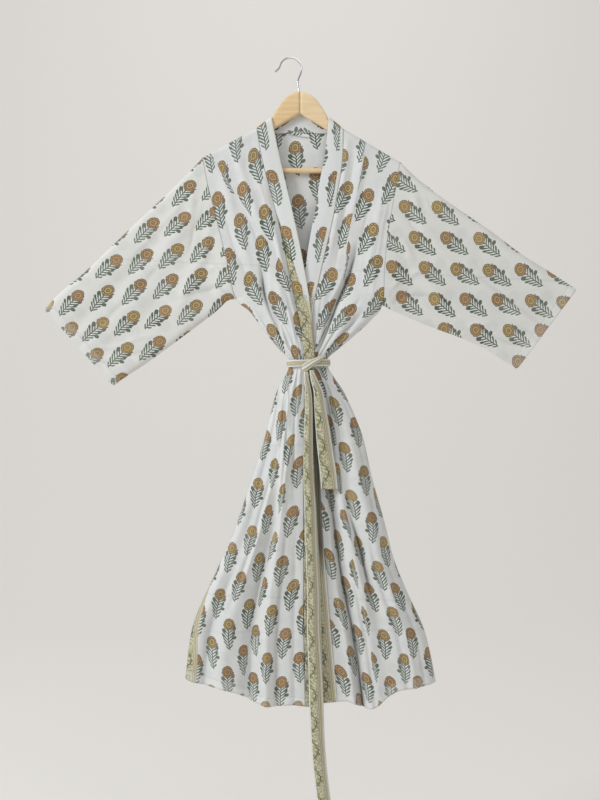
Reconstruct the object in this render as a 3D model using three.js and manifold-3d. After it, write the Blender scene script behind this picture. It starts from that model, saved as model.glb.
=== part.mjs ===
// Cotton kimono robe hung flat on a wooden hanger, in millimetres, +Z up.
// The origin is the point inside the hook's bend where the wall peg carries it.
// -Y is the front of the robe, and right and left are the wearer's own.
import * as THREE from 'three';
import { mergeVertices } from 'three/addons/utils/BufferGeometryUtils.js';
import Module from 'manifold-3d';

const wasm = await Module();
wasm.setup();

// Driving sizes
const CLOTH = 1.4;            // cloth wall of the panels and sleeves
const BAND_CLOTH = 2.0;       // the neckband and the belt are sewn double
const SEAM = 0.3;             // gap between two pieces at a seam
const SIDE_ROUND = 35;        // how far in from a side seam the body rounds to its full depth
const SHOULDER_ROUND = 10;    // radius of the cloth where it turns over the hanger
const CENTRE_X = 20.5;        // middle of the hanger and of the neck
const ARMPIT_ROW = 5;
const HEM_ROW = 19;

const HANGER = {
  thick: 12, round: 5, topZ: -71, peakZ: -119, clearance: 1.95, tipX: 197, tipFoot: 41,
  barZ: -241, barRadius: 5.6, barHalf: 160, socket: 0.4,
};
// Points of an arm's outline that no other size gives, measured outwards from the middle joint.
const ARM = {
  collar: { x: 28, nearX: 44, nearZ: -98, endX: 59, endZ: -124.5 },
  dip: { x: 61, z: -131.5 },
  neckEase: { x: 3, z: 0.8 },
  tip: { round: 10, beyond: 4, bulge: 3, drop: 13, heel: 8, footRound: 12, flat: 24 },
  under: { x: 108, z: -184, bendBack: 46, bendUp: 14 },
};
const HOOK = { wire: 1.8, bend: 23.5, shankX: 18.5, hole: 2.2, holeDepth: 58, holeSides: 12, sideSegments: 4, steps: 52 };
const HOOK_END = [{ x: -33, z: -28.5 }, { x: -27.5, z: -24 }];
const HOOK_BEND = [172, 150, 120, 90, 60, 30, 4];
const HOOK_SHANK = [
  { x: 22, z: -32 }, { x: 17.8, z: -42 }, { x: 15.4, z: -52 }, { x: 17, z: -62 },
  { x: 18.5, z: -72 }, { x: 18.5, z: -96 },
];
const BELT = { gap: 1.0, tuckedBehind: 1.35, ease: 1.0, ringHigh: 15, slope: 1.5, squareness: 0.66, proud: 1.2, around: 36 };
const KNOT_SIDES = 12;
const ROUND_SIDES = 20;

// The two fronts, from shoulder (row 0) to hem (row 19), as they hang.
// side: armhole edge down to row 5 and side seam below it; seam: where the neckband is sewn on;
// edge: the free edge of the neckband.
const RIGHT_FRONT = [
  { sideX: -188, sideZ: -213, seamX: -72, seamZ: -149, edgeX: -42, edgeZ: -126 },
  { sideX: -177, sideZ: -272, seamX: -61, seamZ: -214, edgeX: -25, edgeZ: -207 },
  { sideX: -162, sideZ: -330, seamX: -46, seamZ: -274, edgeX: -10, edgeZ: -272 },
  { sideX: -147, sideZ: -390, seamX: -30, seamZ: -334, edgeX: 5, edgeZ: -336 },
  { sideX: -132, sideZ: -450, seamX: -15, seamZ: -399, edgeX: 19, edgeZ: -401 },
  { sideX: -117, sideZ: -517, seamX: -2, seamZ: -467, edgeX: 32, edgeZ: -470 },
  { sideX: -87, sideZ: -545, seamX: 9, seamZ: -519, edgeX: 40, edgeZ: -521 },
  { sideX: -57, sideZ: -586, seamX: 20, seamZ: -566, edgeX: 45, edgeZ: -568 },
  { sideX: -29, sideZ: -620, seamX: 26, seamZ: -611, edgeX: 49, edgeZ: -614 },
  { sideX: -4, sideZ: -646, seamX: 28, seamZ: -646, edgeX: 51, edgeZ: -646 },
  { sideX: -4, sideZ: -665, seamX: 28, seamZ: -665, edgeX: 51, edgeZ: -665 },
  { sideX: -18, sideZ: -695, seamX: 29, seamZ: -695, edgeX: 53, edgeZ: -695 },
  { sideX: -34, sideZ: -728, seamX: 29, seamZ: -730, edgeX: 54, edgeZ: -730 },
  { sideX: -56, sideZ: -816, seamX: 29, seamZ: -820, edgeX: 56, edgeZ: -820 },
  { sideX: -86, sideZ: -910, seamX: 29, seamZ: -919, edgeX: 58, edgeZ: -919 },
  { sideX: -119, sideZ: -1008, seamX: 29, seamZ: -1016, edgeX: 60, edgeZ: -1016 },
  { sideX: -155, sideZ: -1091, seamX: 29, seamZ: -1100, edgeX: 62, edgeZ: -1100 },
  { sideX: -186, sideZ: -1158, seamX: 29, seamZ: -1170, edgeX: 64, edgeZ: -1170 },
  { sideX: -212, sideZ: -1226, seamX: 30, seamZ: -1250, edgeX: 66, edgeZ: -1250 },
  { sideX: -226, sideZ: -1330, seamX: 33, seamZ: -1383, edgeX: 70, edgeZ: -1383 },
];

const LEFT_FRONT = [
  { sideX: 235, sideZ: -223, seamX: 113, seamZ: -151, edgeX: 83, edgeZ: -126 },
  { sideX: 225, sideZ: -283, seamX: 111, seamZ: -222, edgeX: 75, edgeZ: -203 },
  { sideX: 216, sideZ: -334, seamX: 102, seamZ: -283, edgeX: 64, edgeZ: -262 },
  { sideX: 207, sideZ: -390, seamX: 92, seamZ: -341, edgeX: 54, edgeZ: -324 },
  { sideX: 201, sideZ: -459, seamX: 78, seamZ: -403, edgeX: 42, edgeZ: -388 },
  { sideX: 197, sideZ: -530, seamX: 62, seamZ: -472, edgeX: 31, edgeZ: -456 },
  { sideX: 175, sideZ: -560, seamX: 51, seamZ: -523, edgeX: 23, edgeZ: -513 },
  { sideX: 144, sideZ: -590, seamX: 45, seamZ: -571, edgeX: 18, edgeZ: -564 },
  { sideX: 109, sideZ: -620, seamX: 42, seamZ: -614, edgeX: 15, edgeZ: -611 },
  { sideX: 81, sideZ: -644, seamX: 41, seamZ: -644, edgeX: 14, edgeZ: -644 },
  { sideX: 81, sideZ: -663, seamX: 42, seamZ: -665, edgeX: 14, edgeZ: -665 },
  { sideX: 96, sideZ: -689, seamX: 46, seamZ: -693, edgeX: 14, edgeZ: -693 },
  { sideX: 119, sideZ: -725, seamX: 50, seamZ: -730, edgeX: 15, edgeZ: -730 },
  { sideX: 154, sideZ: -809, seamX: 57, seamZ: -820, edgeX: 17, edgeZ: -820 },
  { sideX: 175, sideZ: -900, seamX: 63, seamZ: -919, edgeX: 22, edgeZ: -919 },
  { sideX: 201, sideZ: -992, seamX: 68, seamZ: -1016, edgeX: 27, edgeZ: -1016 },
  { sideX: 223, sideZ: -1078, seamX: 75, seamZ: -1100, edgeX: 33, edgeZ: -1100 },
  { sideX: 253, sideZ: -1151, seamX: 81, seamZ: -1170, edgeX: 38, edgeZ: -1170 },
  { sideX: 289, sideZ: -1233, seamX: 88, seamZ: -1250, edgeX: 45, edgeZ: -1250 },
  { sideX: 312, sideZ: -1336, seamX: 100, seamZ: -1375, edgeX: 57, edgeZ: -1379 },
];

// How far the front and the back stand off the side seams at each row.
const BODY_DEPTH = [
  { front: 10, back: 10 }, { front: 10, back: 10 }, { front: 12, back: 10 },
  { front: 14, back: 10 }, { front: 16, back: 10 }, { front: 17, back: 10 },
  { front: 18, back: 10.5 }, { front: 19, back: 11 }, { front: 20, back: 12 },
  { front: 21, back: 13 }, { front: 21, back: 13 }, { front: 21, back: 12 },
  { front: 20, back: 12 }, { front: 20, back: 13 }, { front: 21, back: 14 },
  { front: 22, back: 15 }, { front: 24, back: 16 }, { front: 25, back: 17 },
  { front: 26, back: 18 }, { front: 27, back: 18 },
];

// Neck seam behind the hanger. turn: how far round the shoulder it lies, in degrees from the top.
// The wearer's left half mirrors it about the middle.
const BACK_NECK = [
  { x: -72, z: -149, turn: 0, edgeX: -42, edgeZ: -126 },
  { x: -68, z: -151, turn: 45, edgeX: -43, edgeZ: -128.5 },
  { x: -61, z: -156.5, turn: 90, edgeX: -40, edgeZ: -129.5 },
  { x: -38, z: -159, turn: 90, edgeX: -26, edgeZ: -122 },
  { x: -9, z: -158.5, turn: 90, edgeX: -4, edgeZ: -115 },
  { x: 20.5, z: -158, turn: 90, edgeX: 20.5, edgeZ: -113 },
];
const LEFT_NECK_DROP = 2;     // the wearer's left neck point hangs this much lower

// Sleeve sections from the armhole to the cuff: fold along the top and seam underneath.
const RIGHT_SLEEVE = [
  { topX: -188, topZ: -213, underX: -117, underZ: -517 },
  { topX: -214, topZ: -241, underX: -134, underZ: -520 },
  { topX: -240, topZ: -266, underX: -150, underZ: -534 },
  { topX: -266, topZ: -292, underX: -169, underZ: -551 },
  { topX: -324, topZ: -346, underX: -210, underZ: -582 },
  { topX: -382, topZ: -401, underX: -257, underZ: -617 },
  { topX: -440, topZ: -457, underX: -311, underZ: -656 },
  { topX: -496, topZ: -504, underX: -358, underZ: -687 },
  { topX: -528, topZ: -539, underX: -380, underZ: -703 },
];
const LEFT_SLEEVE = [
  { topX: 235, topZ: -223, underX: 197, underZ: -530 },
  { topX: 270, topZ: -256, underX: 218, underZ: -541 },
  { topX: 294, topZ: -275, underX: 241, underZ: -551 },
  { topX: 317, topZ: -293, underX: 263, underZ: -561 },
  { topX: 373, topZ: -332, underX: 315, underZ: -582 },
  { topX: 433, topZ: -373, underX: 367, underZ: -601 },
  { topX: 493, topZ: -418, underX: 416, underZ: -623 },
  { topX: 558, topZ: -459, underX: 459, underZ: -650 },
  { topX: 614, topZ: -496, underX: 486, underZ: -667 },
];
const SLEEVE_DEPTH = 9;       // half depth of a sleeve away from the armhole
const SLEEVE_ROUND = 14;      // how far in from its folds a sleeve rounds to that depth
const SLEEVE_BLEND = 2.5;     // sections over which a sleeve takes its own depth
// The armhole seam stands this much wider under the arm, from one row to another.
const ARMPIT_EASE = { gap: 0.25, fromRow: 4.3, toRow: 4.9 };

// Folds of each panel. row and at give three points of the fold line, at running from the side
// seam (0) to the neckband seam (1); width and depth are in mm, and a trough has a minus depth.
const RIGHT_FOLDS = [
  { row1: 0, at1: 0.5, row2: 0.9, at2: 0.6, row3: 3.6, at3: 0.7, width: 15, depth: 3.5 },
  { row1: 0.8, at1: 0.28, row2: 2.5, at2: 0.3, row3: 4.6, at3: 0.36, width: 16, depth: 3 },
  { row1: 4.2, at1: 0.57, row2: 6, at2: 0.5, row3: 8.8, at3: 0.2, width: 13, depth: -6 },
  { row1: 4.6, at1: 0.78, row2: 6.5, at2: 0.76, row3: 8.9, at3: 0.62, width: 16, depth: 5 },
  { row1: 1.6, at1: 1, row2: 5, at2: 1, row3: 9, at3: 1, width: 11, depth: -4.5 },
  { row1: 10.2, at1: 0.2, row2: 12, at2: 0.41, row3: 13.6, at3: 0.6, width: 12, depth: -5 },
  { row1: 12.8, at1: 0.62, row2: 15, at2: 0.72, row3: 19, at3: 0.68, width: 24, depth: 7 },
  { row1: 13.6, at1: 0.5, row2: 16, at2: 0.52, row3: 19, at3: 0.5, width: 20, depth: -6 },
  { row1: 13.2, at1: 0.5, row2: 16, at2: 0.34, row3: 19, at3: 0.31, width: 24, depth: 7 },
  { row1: 12.5, at1: 0.16, row2: 16, at2: 0.17, row3: 19, at3: 0.16, width: 18, depth: -4 },
];
const LEFT_FOLDS = [
  { row1: 0.2, at1: 0.93, row2: 2.2, at2: 0.94, row3: 4.6, at3: 0.93, width: 12, depth: 4 },
  { row1: 0, at1: 0.62, row2: 1.2, at2: 0.66, row3: 3.2, at3: 0.7, width: 14, depth: 3.5 },
  { row1: 0.8, at1: 0.2, row2: 2.5, at2: 0.22, row3: 4.8, at3: 0.28, width: 16, depth: 3 },
  { row1: 3.4, at1: 0.52, row2: 6, at2: 0.66, row3: 8.7, at3: 0.66, width: 14, depth: -7 },
  { row1: 4.8, at1: 0.9, row2: 6.5, at2: 0.88, row3: 8.8, at3: 0.86, width: 14, depth: 4 },
  { row1: 5.6, at1: 0.22, row2: 7.5, at2: 0.24, row3: 8.9, at3: 0.3, width: 13, depth: -5 },
  { row1: 5.2, at1: 0.42, row2: 7, at2: 0.45, row3: 8.9, at3: 0.48, width: 14, depth: 4 },
  { row1: 13.4, at1: 0.82, row2: 16, at2: 0.775, row3: 19, at3: 0.74, width: 17, depth: -13 },
  { row1: 14.2, at1: 0.55, row2: 16, at2: 0.43, row3: 18.2, at3: 0.46, width: 17, depth: -6 },
  { row1: 12.8, at1: 0.66, row2: 16, at2: 0.6, row3: 19, at3: 0.6, width: 24, depth: 7 },
  { row1: 12.6, at1: 0.3, row2: 16, at2: 0.24, row3: 19, at3: 0.26, width: 26, depth: 6 },
];
const BACK_FOLDS = [
  { row1: 1, at1: 0.3, row2: 5, at2: 0.34, row3: 9, at3: 0.3, width: 22, depth: 4 },
  { row1: 2, at1: 0.5, row2: 6, at2: 0.52, row3: 9, at3: 0.5, width: 26, depth: -4 },
  { row1: 1, at1: 0.68, row2: 5, at2: 0.7, row3: 9, at3: 0.7, width: 20, depth: 4.5 },
  { row1: 4, at1: 0.17, row2: 6.5, at2: 0.2, row3: 9, at3: 0.2, width: 16, depth: -4 },
  { row1: 4, at1: 0.84, row2: 6.5, at2: 0.82, row3: 9, at3: 0.82, width: 16, depth: -4 },
  { row1: 10.4, at1: 0.16, row2: 14, at2: 0.17, row3: 19, at3: 0.14, width: 30, depth: 6 },
  { row1: 10.6, at1: 0.32, row2: 14, at2: 0.31, row3: 19, at3: 0.27, width: 26, depth: -6 },
  { row1: 10.4, at1: 0.45, row2: 14, at2: 0.44, row3: 19, at3: 0.41, width: 34, depth: 7 },
  { row1: 10.8, at1: 0.58, row2: 14, at2: 0.6, row3: 19, at3: 0.57, width: 28, depth: -7 },
  { row1: 10.4, at1: 0.72, row2: 14, at2: 0.73, row3: 19, at3: 0.71, width: 32, depth: 7 },
  { row1: 11, at1: 0.86, row2: 14, at2: 0.86, row3: 19, at3: 0.86, width: 24, depth: -5 },
];
// Folds of the sleeves: row counts the sections from the armhole, at runs from top to underarm.
const SLEEVE_FOLDS = [
  { row1: 0.6, at1: 0.12, row2: 2.5, at2: 0.3, row3: 5, at3: 0.42, width: 26, depth: 2.5 },
  { row1: 0.6, at1: 0.5, row2: 2.5, at2: 0.62, row3: 4.6, at3: 0.8, width: 24, depth: 3 },
  { row1: 3.4, at1: 0.2, row2: 5.5, at2: 0.3, row3: 8, at3: 0.36, width: 24, depth: -2.5 },
  { row1: 4, at1: 0.62, row2: 6, at2: 0.66, row3: 8, at3: 0.7, width: 26, depth: -2.5 },
];

// A fold fades over this many rows, is narrower on a panel below the full width, and is never
// deeper than its squared width over the steepness.
const FOLD = { fadeRows: 1.2, fadeStart: 0.2, fullWidth: 140, leastShare: 0.2, steepness: 12, sharpness: 2 };
// Folds begin this far from the shoulder, the side seams and a sleeve's edges.
const CALM = { frontTop: 30, frontSide: 12, backTop: 40, backSide: 14, sleeve: 30 };

// The belt gathers the cloth into uneven waves that die out above and below it.
const GATHER = {
  row: 9.5, above: 4.5, below: 4.2, depth: 3, panelWaves: 4, backWaves: 6,
  steepness: 90, uneven: 0.035, unevenTurns: 9, unevenStart: 1.3,
};
// The hem hangs lower at a fold: at and sag of each front, and the sag of the back.
const HEM_SAG = {
  fromRow: 15.5, back: 34,
  right: { at: 0.66, spread: 0.2, sag: 16 },
  left: { at: 0.67, spread: 0.17, sag: 30 },
};
// The right front laps over the left one by these offsets, reached between two rows.
const LAP = { over: 2, under: -5, fromRow: 2.6, toRow: 4.2, fullAt: 0.8 };

// Belt ends as they hang: middle line, visible width and how far the middle stands forward.
const LONG_TAIL = [
  { x: 33, z: -674.2, width: 8, y: -30.5, curl: 2 },
  { x: 34, z: -692, width: 11, y: -31, curl: 5 },
  { x: 39, z: -731, width: 14, y: -31, curl: 8 },
  { x: 38, z: -800, width: 19, y: -31, curl: 10 },
  { x: 38, z: -880, width: 21, y: -31.5, curl: 11 },
  { x: 41, z: -950, width: 24, y: -32, curl: 11 },
  { x: 44, z: -1050, width: 24, y: -33.5, curl: 10 },
  { x: 48, z: -1150, width: 25, y: -35.5, curl: 10 },
  { x: 48, z: -1215, width: 26, y: -36.5, curl: 9 },
  { x: 52, z: -1300, width: 28, y: -37.5, curl: 8 },
  { x: 55, z: -1375, width: 30, y: -38, curl: 7 },
  { x: 58, z: -1448, width: 29, y: -38, curl: 7 },
  { x: 63, z: -1512, width: 29, y: -38, curl: 6 },
  { x: 71, z: -1580, width: 29, y: -37, curl: 6 },
  { x: 78, z: -1650, width: 31, y: -37, curl: 5 },
  { x: 80, z: -1718, width: 33, y: -37, curl: 4 },
];
const SHORT_TAIL = [
  { x: 44.5, z: -670.7, width: 8, y: -30.5, curl: 2 },
  { x: 50.5, z: -692, width: 15, y: -31.5, curl: 5 },
  { x: 59, z: -716, width: 20, y: -32.5, curl: 6 },
  { x: 62, z: -745, width: 24, y: -32, curl: 7 },
  { x: 67, z: -785, width: 29, y: -31.5, curl: 7 },
  { x: 73, z: -835, width: 33, y: -31, curl: 6 },
  { x: 79, z: -880, width: 35, y: -30.5, curl: 5 },
  { x: 83, z: -922, width: 36, y: -30.5, curl: 4 },
];
// The knot: a fold of the belt that crosses the ring from low on the right to high on the left.
const KNOT = [
  { x: 26, y: -30.5, z: -669, wide: 3.5, deep: 2 },
  { x: 30, y: -32.4, z: -668, wide: 7, deep: 3.2 },
  { x: 38, y: -34, z: -663, wide: 8.5, deep: 4 },
  { x: 48, y: -34.2, z: -656.5, wide: 8.5, deep: 4 },
  { x: 58, y: -33.4, z: -650.5, wide: 8, deep: 3.5 },
  { x: 66, y: -31, z: -645.5, wide: 6.5, deep: 2.8 },
  { x: 71, y: -29, z: -643, wide: 4, deep: 2 },
];
// Hanging loop sewn inside the back neck.
const LOOP = [
  { x: -6, z: -154.5, high: 5 }, { x: 2, z: -157.5, high: 8 }, { x: 12, z: -160, high: 8.5 },
  { x: 22, z: -161.5, high: 8.5 }, { x: 32, z: -163, high: 8 }, { x: 41, z: -165.5, high: 5 },
];

const LOOP_BOW = 0.6;         // the loop's middle stands this much off the neck

// Colours of the visible materials
const COTTON = { color: 0xe4e3dc, roughness: 0.92, metalness: 0 };
const BORDER = { color: 0xcfcb9f, roughness: 0.92, metalness: 0 };
const WOOD = { color: 0xe5c58c, roughness: 0.45, metalness: 0 };
const STEEL = { color: 0xd6d8da, roughness: 0.22, metalness: 1 };

const robe = new THREE.Group();

function addPiece(name, geometry, finish) {
  const mesh = new THREE.Mesh(geometry, new THREE.MeshStandardMaterial(finish));
  mesh.name = name;
  robe.add(mesh);
}

// Small curve helpers
const { clamp, lerp, degToRad } = THREE.MathUtils;

function smooth(value) {
  const share = clamp(value, 0, 1);
  return share * share * (3 - 2 * share);
}

// Height of a quarter circle of radius 1 at this share of the way in from its edge.
function arc(share) {
  const inward = 1 - clamp(share, 0, 1);
  return Math.sqrt(1 - inward * inward);
}

// A column of a table at a row between two of its rows, on a smooth curve.
function columnAt(table, column, row) {
  const last = table.length - 1;
  const base = Math.min(Math.floor(row), last - 1);
  const share = row - base;
  const value = (index) => table[clamp(index, 0, last)][column];
  const [a, b, c, d] = [base - 1, base, base + 1, base + 2].map(value);
  const bend = 2 * a - 5 * b + 4 * c - d;
  const twist = 3 * b - a - 3 * c + d;
  return b + 0.5 * share * (c - a + share * (bend + share * twist));
}

// Where a fold's line lies at a row.
function foldAt(fold, row) {
  if (row < fold.row2) {
    return lerp(fold.at1, fold.at2, smooth((row - fold.row1) / (fold.row2 - fold.row1)));
  }
  return lerp(fold.at2, fold.at3, smooth((row - fold.row2) / (fold.row3 - fold.row2)));
}

// What the folds add to a panel's depth. A narrow panel keeps them shallow, so that the wall
// never meets itself.
function foldDepth(folds, row, at, panelWidth) {
  let depth = 0;
  for (const fold of folds) {
    const fade = (rows) => smooth(rows / FOLD.fadeRows + FOLD.fadeStart);
    const fadeIn = fold.row1 === 0 ? 1 : fade(row - fold.row1);
    const fadeOut = fold.row3 >= HEM_ROW ? 1 : fade(fold.row3 - row);
    const width = fold.width * clamp(panelWidth / FOLD.fullWidth, FOLD.leastShare, 1);
    const away = ((at - foldAt(fold, row)) * panelWidth) / width;
    const limit = (width * width) / FOLD.steepness;
    const height = Math.min(Math.abs(fold.depth) * fadeIn * fadeOut, limit);
    depth += Math.sign(fold.depth) * height * Math.exp(-FOLD.sharpness * away * away);
  }
  return depth;
}

function gatherDepth(row, at, panelWidth, waves) {
  const reach = row < GATHER.row ? GATHER.above : GATHER.below;
  const share = 1 - smooth(Math.abs(row - GATHER.row) / reach);
  const pitch = panelWidth / waves;
  const height = Math.min(GATHER.depth, (pitch * pitch) / GATHER.steepness) * share;
  const uneven = at + GATHER.uneven * Math.sin(GATHER.unevenTurns * at + GATHER.unevenStart);
  return height * Math.sin(2 * Math.PI * waves * uneven);
}

// Closed wall of cloth under a grid of its outer points. outward turns the normals, closed joins
// the last column to the first, across(row, column) gives the direction in which a rim faces its
// neighbour, and keep(point) holds an inner point on its own side of a seam.
function clothWall(grid, { thickness, outward, closed = false, across = () => null, keep }) {
  const rows = grid.length;
  const columns = grid[0].length;
  const at = (row, column) => {
    const wrapped = closed ? (column + columns) % columns : clamp(column, 0, columns - 1);
    return grid[clamp(row, 0, rows - 1)][wrapped];
  };
  const inner = grid.map((line, row) => line.map((point, column) => {
    const along = at(row + 1, column).clone().sub(at(row - 1, column));
    const over = at(row, column + 1).clone().sub(at(row, column - 1));
    const normal = over.cross(along).normalize().multiplyScalar(outward);
    const direction = across(row, column);
    if (direction) {
      normal.addScaledVector(direction, -normal.dot(direction)).normalize();
    }
    const inside = point.clone().addScaledVector(normal, -thickness);
    return keep ? keep(inside) : inside;
  }));
  const positions = [];
  for (const line of [...grid, ...inner]) {
    for (const point of line) {
      positions.push(point.x, point.y, point.z);
    }
  }
  const indices = [];
  const id = (layer, row, column) => (layer * rows + row) * columns + (column % columns);
  const quad = (a, b, c, d) => {
    if (outward > 0) {
      indices.push(a, b, c, a, c, d);
    } else {
      indices.push(a, c, b, a, d, c);
    }
  };
  const spans = closed ? columns : columns - 1;
  for (let row = 0; row < rows - 1; row += 1) {
    for (let column = 0; column < spans; column += 1) {
      const next = column + 1;
      quad(id(0, row, column), id(0, row, next), id(0, row + 1, next), id(0, row + 1, column));
      quad(id(1, row, column), id(1, row + 1, column), id(1, row + 1, next), id(1, row, next));
    }
  }
  for (let column = 0; column < spans; column += 1) {
    const next = column + 1;
    const end = rows - 1;
    quad(id(0, 0, column), id(1, 0, column), id(1, 0, next), id(0, 0, next));
    quad(id(0, end, column), id(0, end, next), id(1, end, next), id(1, end, column));
  }
  if (!closed) {
    const end = columns - 1;
    for (let row = 0; row < rows - 1; row += 1) {
      quad(id(0, row, 0), id(0, row + 1, 0), id(1, row + 1, 0), id(1, row, 0));
      quad(id(0, row, end), id(1, row, end), id(1, row + 1, end), id(0, row + 1, end));
    }
  }
  const geometry = new THREE.BufferGeometry();
  geometry.setAttribute('position', new THREE.Float32BufferAttribute(positions, 3));
  geometry.setIndex(indices);
  return geometry;
}

// Rows at which the panels are cut into sections: close where the cloth turns over the hanger,
// at the armpit and at the waist.
const TURN_SHARES = [0, 30, 60, 90].map((angle) => 1 - Math.cos(degToRad(angle)));
const ROW_HEIGHT = 60;
const SHOULDER_ROWS = TURN_SHARES.map((share) => (share * SHOULDER_ROUND) / ROW_HEIGHT);
const ARMPIT_ROWS = TURN_SHARES.map((share) => ARMPIT_ROW - (share * SIDE_ROUND) / ROW_HEIGHT);
const ARMHOLE_ROWS = [
  ...SHOULDER_ROWS, 0.65, 1.2, 1.8, 2.4, 3, 3.6, 4.1, ...ARMPIT_ROWS.reverse(),
];
const BODY_ROWS = [
  5.5, 6, 6.6, 7.2, 7.8, 8.3, 8.7, 9, 10, 10.4, 10.9, 11.4, 12, 12.7, 13.4, 14.2, 15, 15.8,
  16.6, 17.4, 18.2, HEM_ROW,
];
const PANEL_ROWS = [...ARMHOLE_ROWS, ...BODY_ROWS];
// Columns of a front, from its side seam to its neckband.
const SIDE_SHARES = [0, 0.02, 0.07];
const EVEN = { from: 0.14, spans: 15 };
const FRONT_COLUMNS = [
  ...SIDE_SHARES,
  ...Array.from({ length: EVEN.spans + 1 }, (_, span) => lerp(EVEN.from, 1, span / EVEN.spans)),
];

function sidePoint(table, row) {
  return { x: columnAt(table, 'sideX', row), z: columnAt(table, 'sideZ', row) };
}

// Height of an armhole point above the armpit, where the body is open to the sleeve.
function aboveArmpit(table, row) {
  return row >= ARMPIT_ROW ? 0 : columnAt(table, 'sideZ', row) - table[ARMPIT_ROW].sideZ;
}

const FRONTS = {
  right: { table: RIGHT_FRONT, folds: RIGHT_FOLDS, lap: LAP.over, hem: HEM_SAG.right },
  left: { table: LEFT_FRONT, folds: LEFT_FOLDS, lap: LAP.under, hem: HEM_SAG.left },
};

// How far the hem's sag is reached at a row.
function hemShare(row) {
  return smooth((row - HEM_SAG.fromRow) / (HEM_ROW - HEM_SAG.fromRow));
}

function frontLine(front, row, at) {
  const { table, hem } = front;
  const side = sidePoint(table, row);
  const low = hemShare(row);
  const away = (at - hem.at) / hem.spread;
  const sag = hem.sag * low * low * Math.exp(-away * away);
  return {
    x: lerp(side.x, columnAt(table, 'seamX', row), at),
    z: lerp(side.z, columnAt(table, 'seamZ', row), at) - sag,
  };
}

function frontPoint(front, row, at) {
  const { table, folds, lap } = front;
  const { x, z } = frontLine(front, row, at);
  const side = sidePoint(table, row);
  const top = frontLine(front, 0, at);
  const fromTop = Math.hypot(x - top.x, z - top.z);
  const width = Math.hypot(columnAt(table, 'seamX', row) - side.x, columnAt(table, 'seamZ', row) - side.z);
  const turn = arc((at * width + aboveArmpit(table, row)) / SIDE_ROUND) * arc(fromTop / SHOULDER_ROUND);
  const lapped = lap * smooth((row - LAP.fromRow) / (LAP.toRow - LAP.fromRow)) * smooth(at / LAP.fullAt);
  const folded = foldDepth(folds, row, at, width) + gatherDepth(row, at, width, GATHER.panelWaves);
  const flat = smooth(fromTop / CALM.frontTop) * smooth((at * width) / CALM.frontSide);
  const depth = (columnAt(BODY_DEPTH, 'front', row) + lapped + folded * flat) * turn;
  return new THREE.Vector3(x, -depth - SEAM / 2, z);
}

const ALONG_Y = new THREE.Vector3(0, 1, 0);

// Unit vector that points from the body into a sleeve, square to the armhole.
function sleeveDirection(table) {
  const top = sidePoint(table, 0);
  const armpit = sidePoint(table, ARMPIT_ROW);
  const line = new THREE.Vector3(armpit.x - top.x, 0, armpit.z - top.z).normalize();
  const outwards = Math.sign(top.x - CENTRE_X);
  return new THREE.Vector3(-line.z * outwards, 0, line.x * outwards);
}

// Direction from the neckband's seam to its free edge.
function bandDirection(table, row) {
  const over = columnAt(table, 'edgeX', row) - columnAt(table, 'seamX', row);
  const up = columnAt(table, 'edgeZ', row) - columnAt(table, 'seamZ', row);
  return new THREE.Vector3(over, 0, up).normalize();
}

function makeFront(name, side) {
  const front = FRONTS[side];
  const { table } = front;
  const last = FRONT_COLUMNS.length - 1;
  const sleeve = sleeveDirection(table);
  const grid = PANEL_ROWS.map((row) => FRONT_COLUMNS.map((at, column) => {
    const point = frontPoint(front, row, at);
    if (column === last) {
      point.addScaledVector(bandDirection(table, row), -SEAM / 2);
    }
    return point;
  }));
  const across = (row, column) => {
    if (row === 0) {
      return ALONG_Y;
    }
    if (column === 0) {
      return PANEL_ROWS[row] < ARMPIT_ROW ? sleeve : ALONG_Y;
    }
    return column === last ? bandDirection(table, PANEL_ROWS[row]) : null;
  };
  const outward = side === 'right' ? -1 : 1;
  const keep = (point) => {
    point.y = Math.min(point.y, -SEAM / 2);
    return point;
  };
  addPiece(name, clothWall(grid, { thickness: CLOTH, outward, across, keep }), COTTON);
}

// Back neck stations from the wearer's right shoulder to the left one.
const NECK_STATIONS = [
  ...BACK_NECK,
  ...BACK_NECK.slice(0, -1).reverse().map((station) => ({
    x: 2 * CENTRE_X - station.x,
    z: station.z - (station.turn < 90 ? LEFT_NECK_DROP * (1 - station.turn / 90) : 0),
    turn: station.turn,
    edgeX: 2 * CENTRE_X - station.edgeX,
    edgeZ: station.edgeZ,
  })),
];

// Columns of the back: both shoulders and the neck stations between them.
function shoulderColumns(from, to, shares) {
  return shares.map((share) => ({
    x: lerp(from.x, to.x, share), z: lerp(from.z, to.z, share), turn: 0,
  }));
}
const OUTER_SHARES = [0, 0.04, 0.12, 0.26, 0.44, 0.62, 0.81];
const BACK_COLUMNS = [
  ...shoulderColumns(sidePoint(RIGHT_FRONT, 0), NECK_STATIONS[0], OUTER_SHARES),
  ...NECK_STATIONS,
  ...shoulderColumns(sidePoint(LEFT_FRONT, 0), NECK_STATIONS.at(-1), OUTER_SHARES).reverse(),
];

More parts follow.
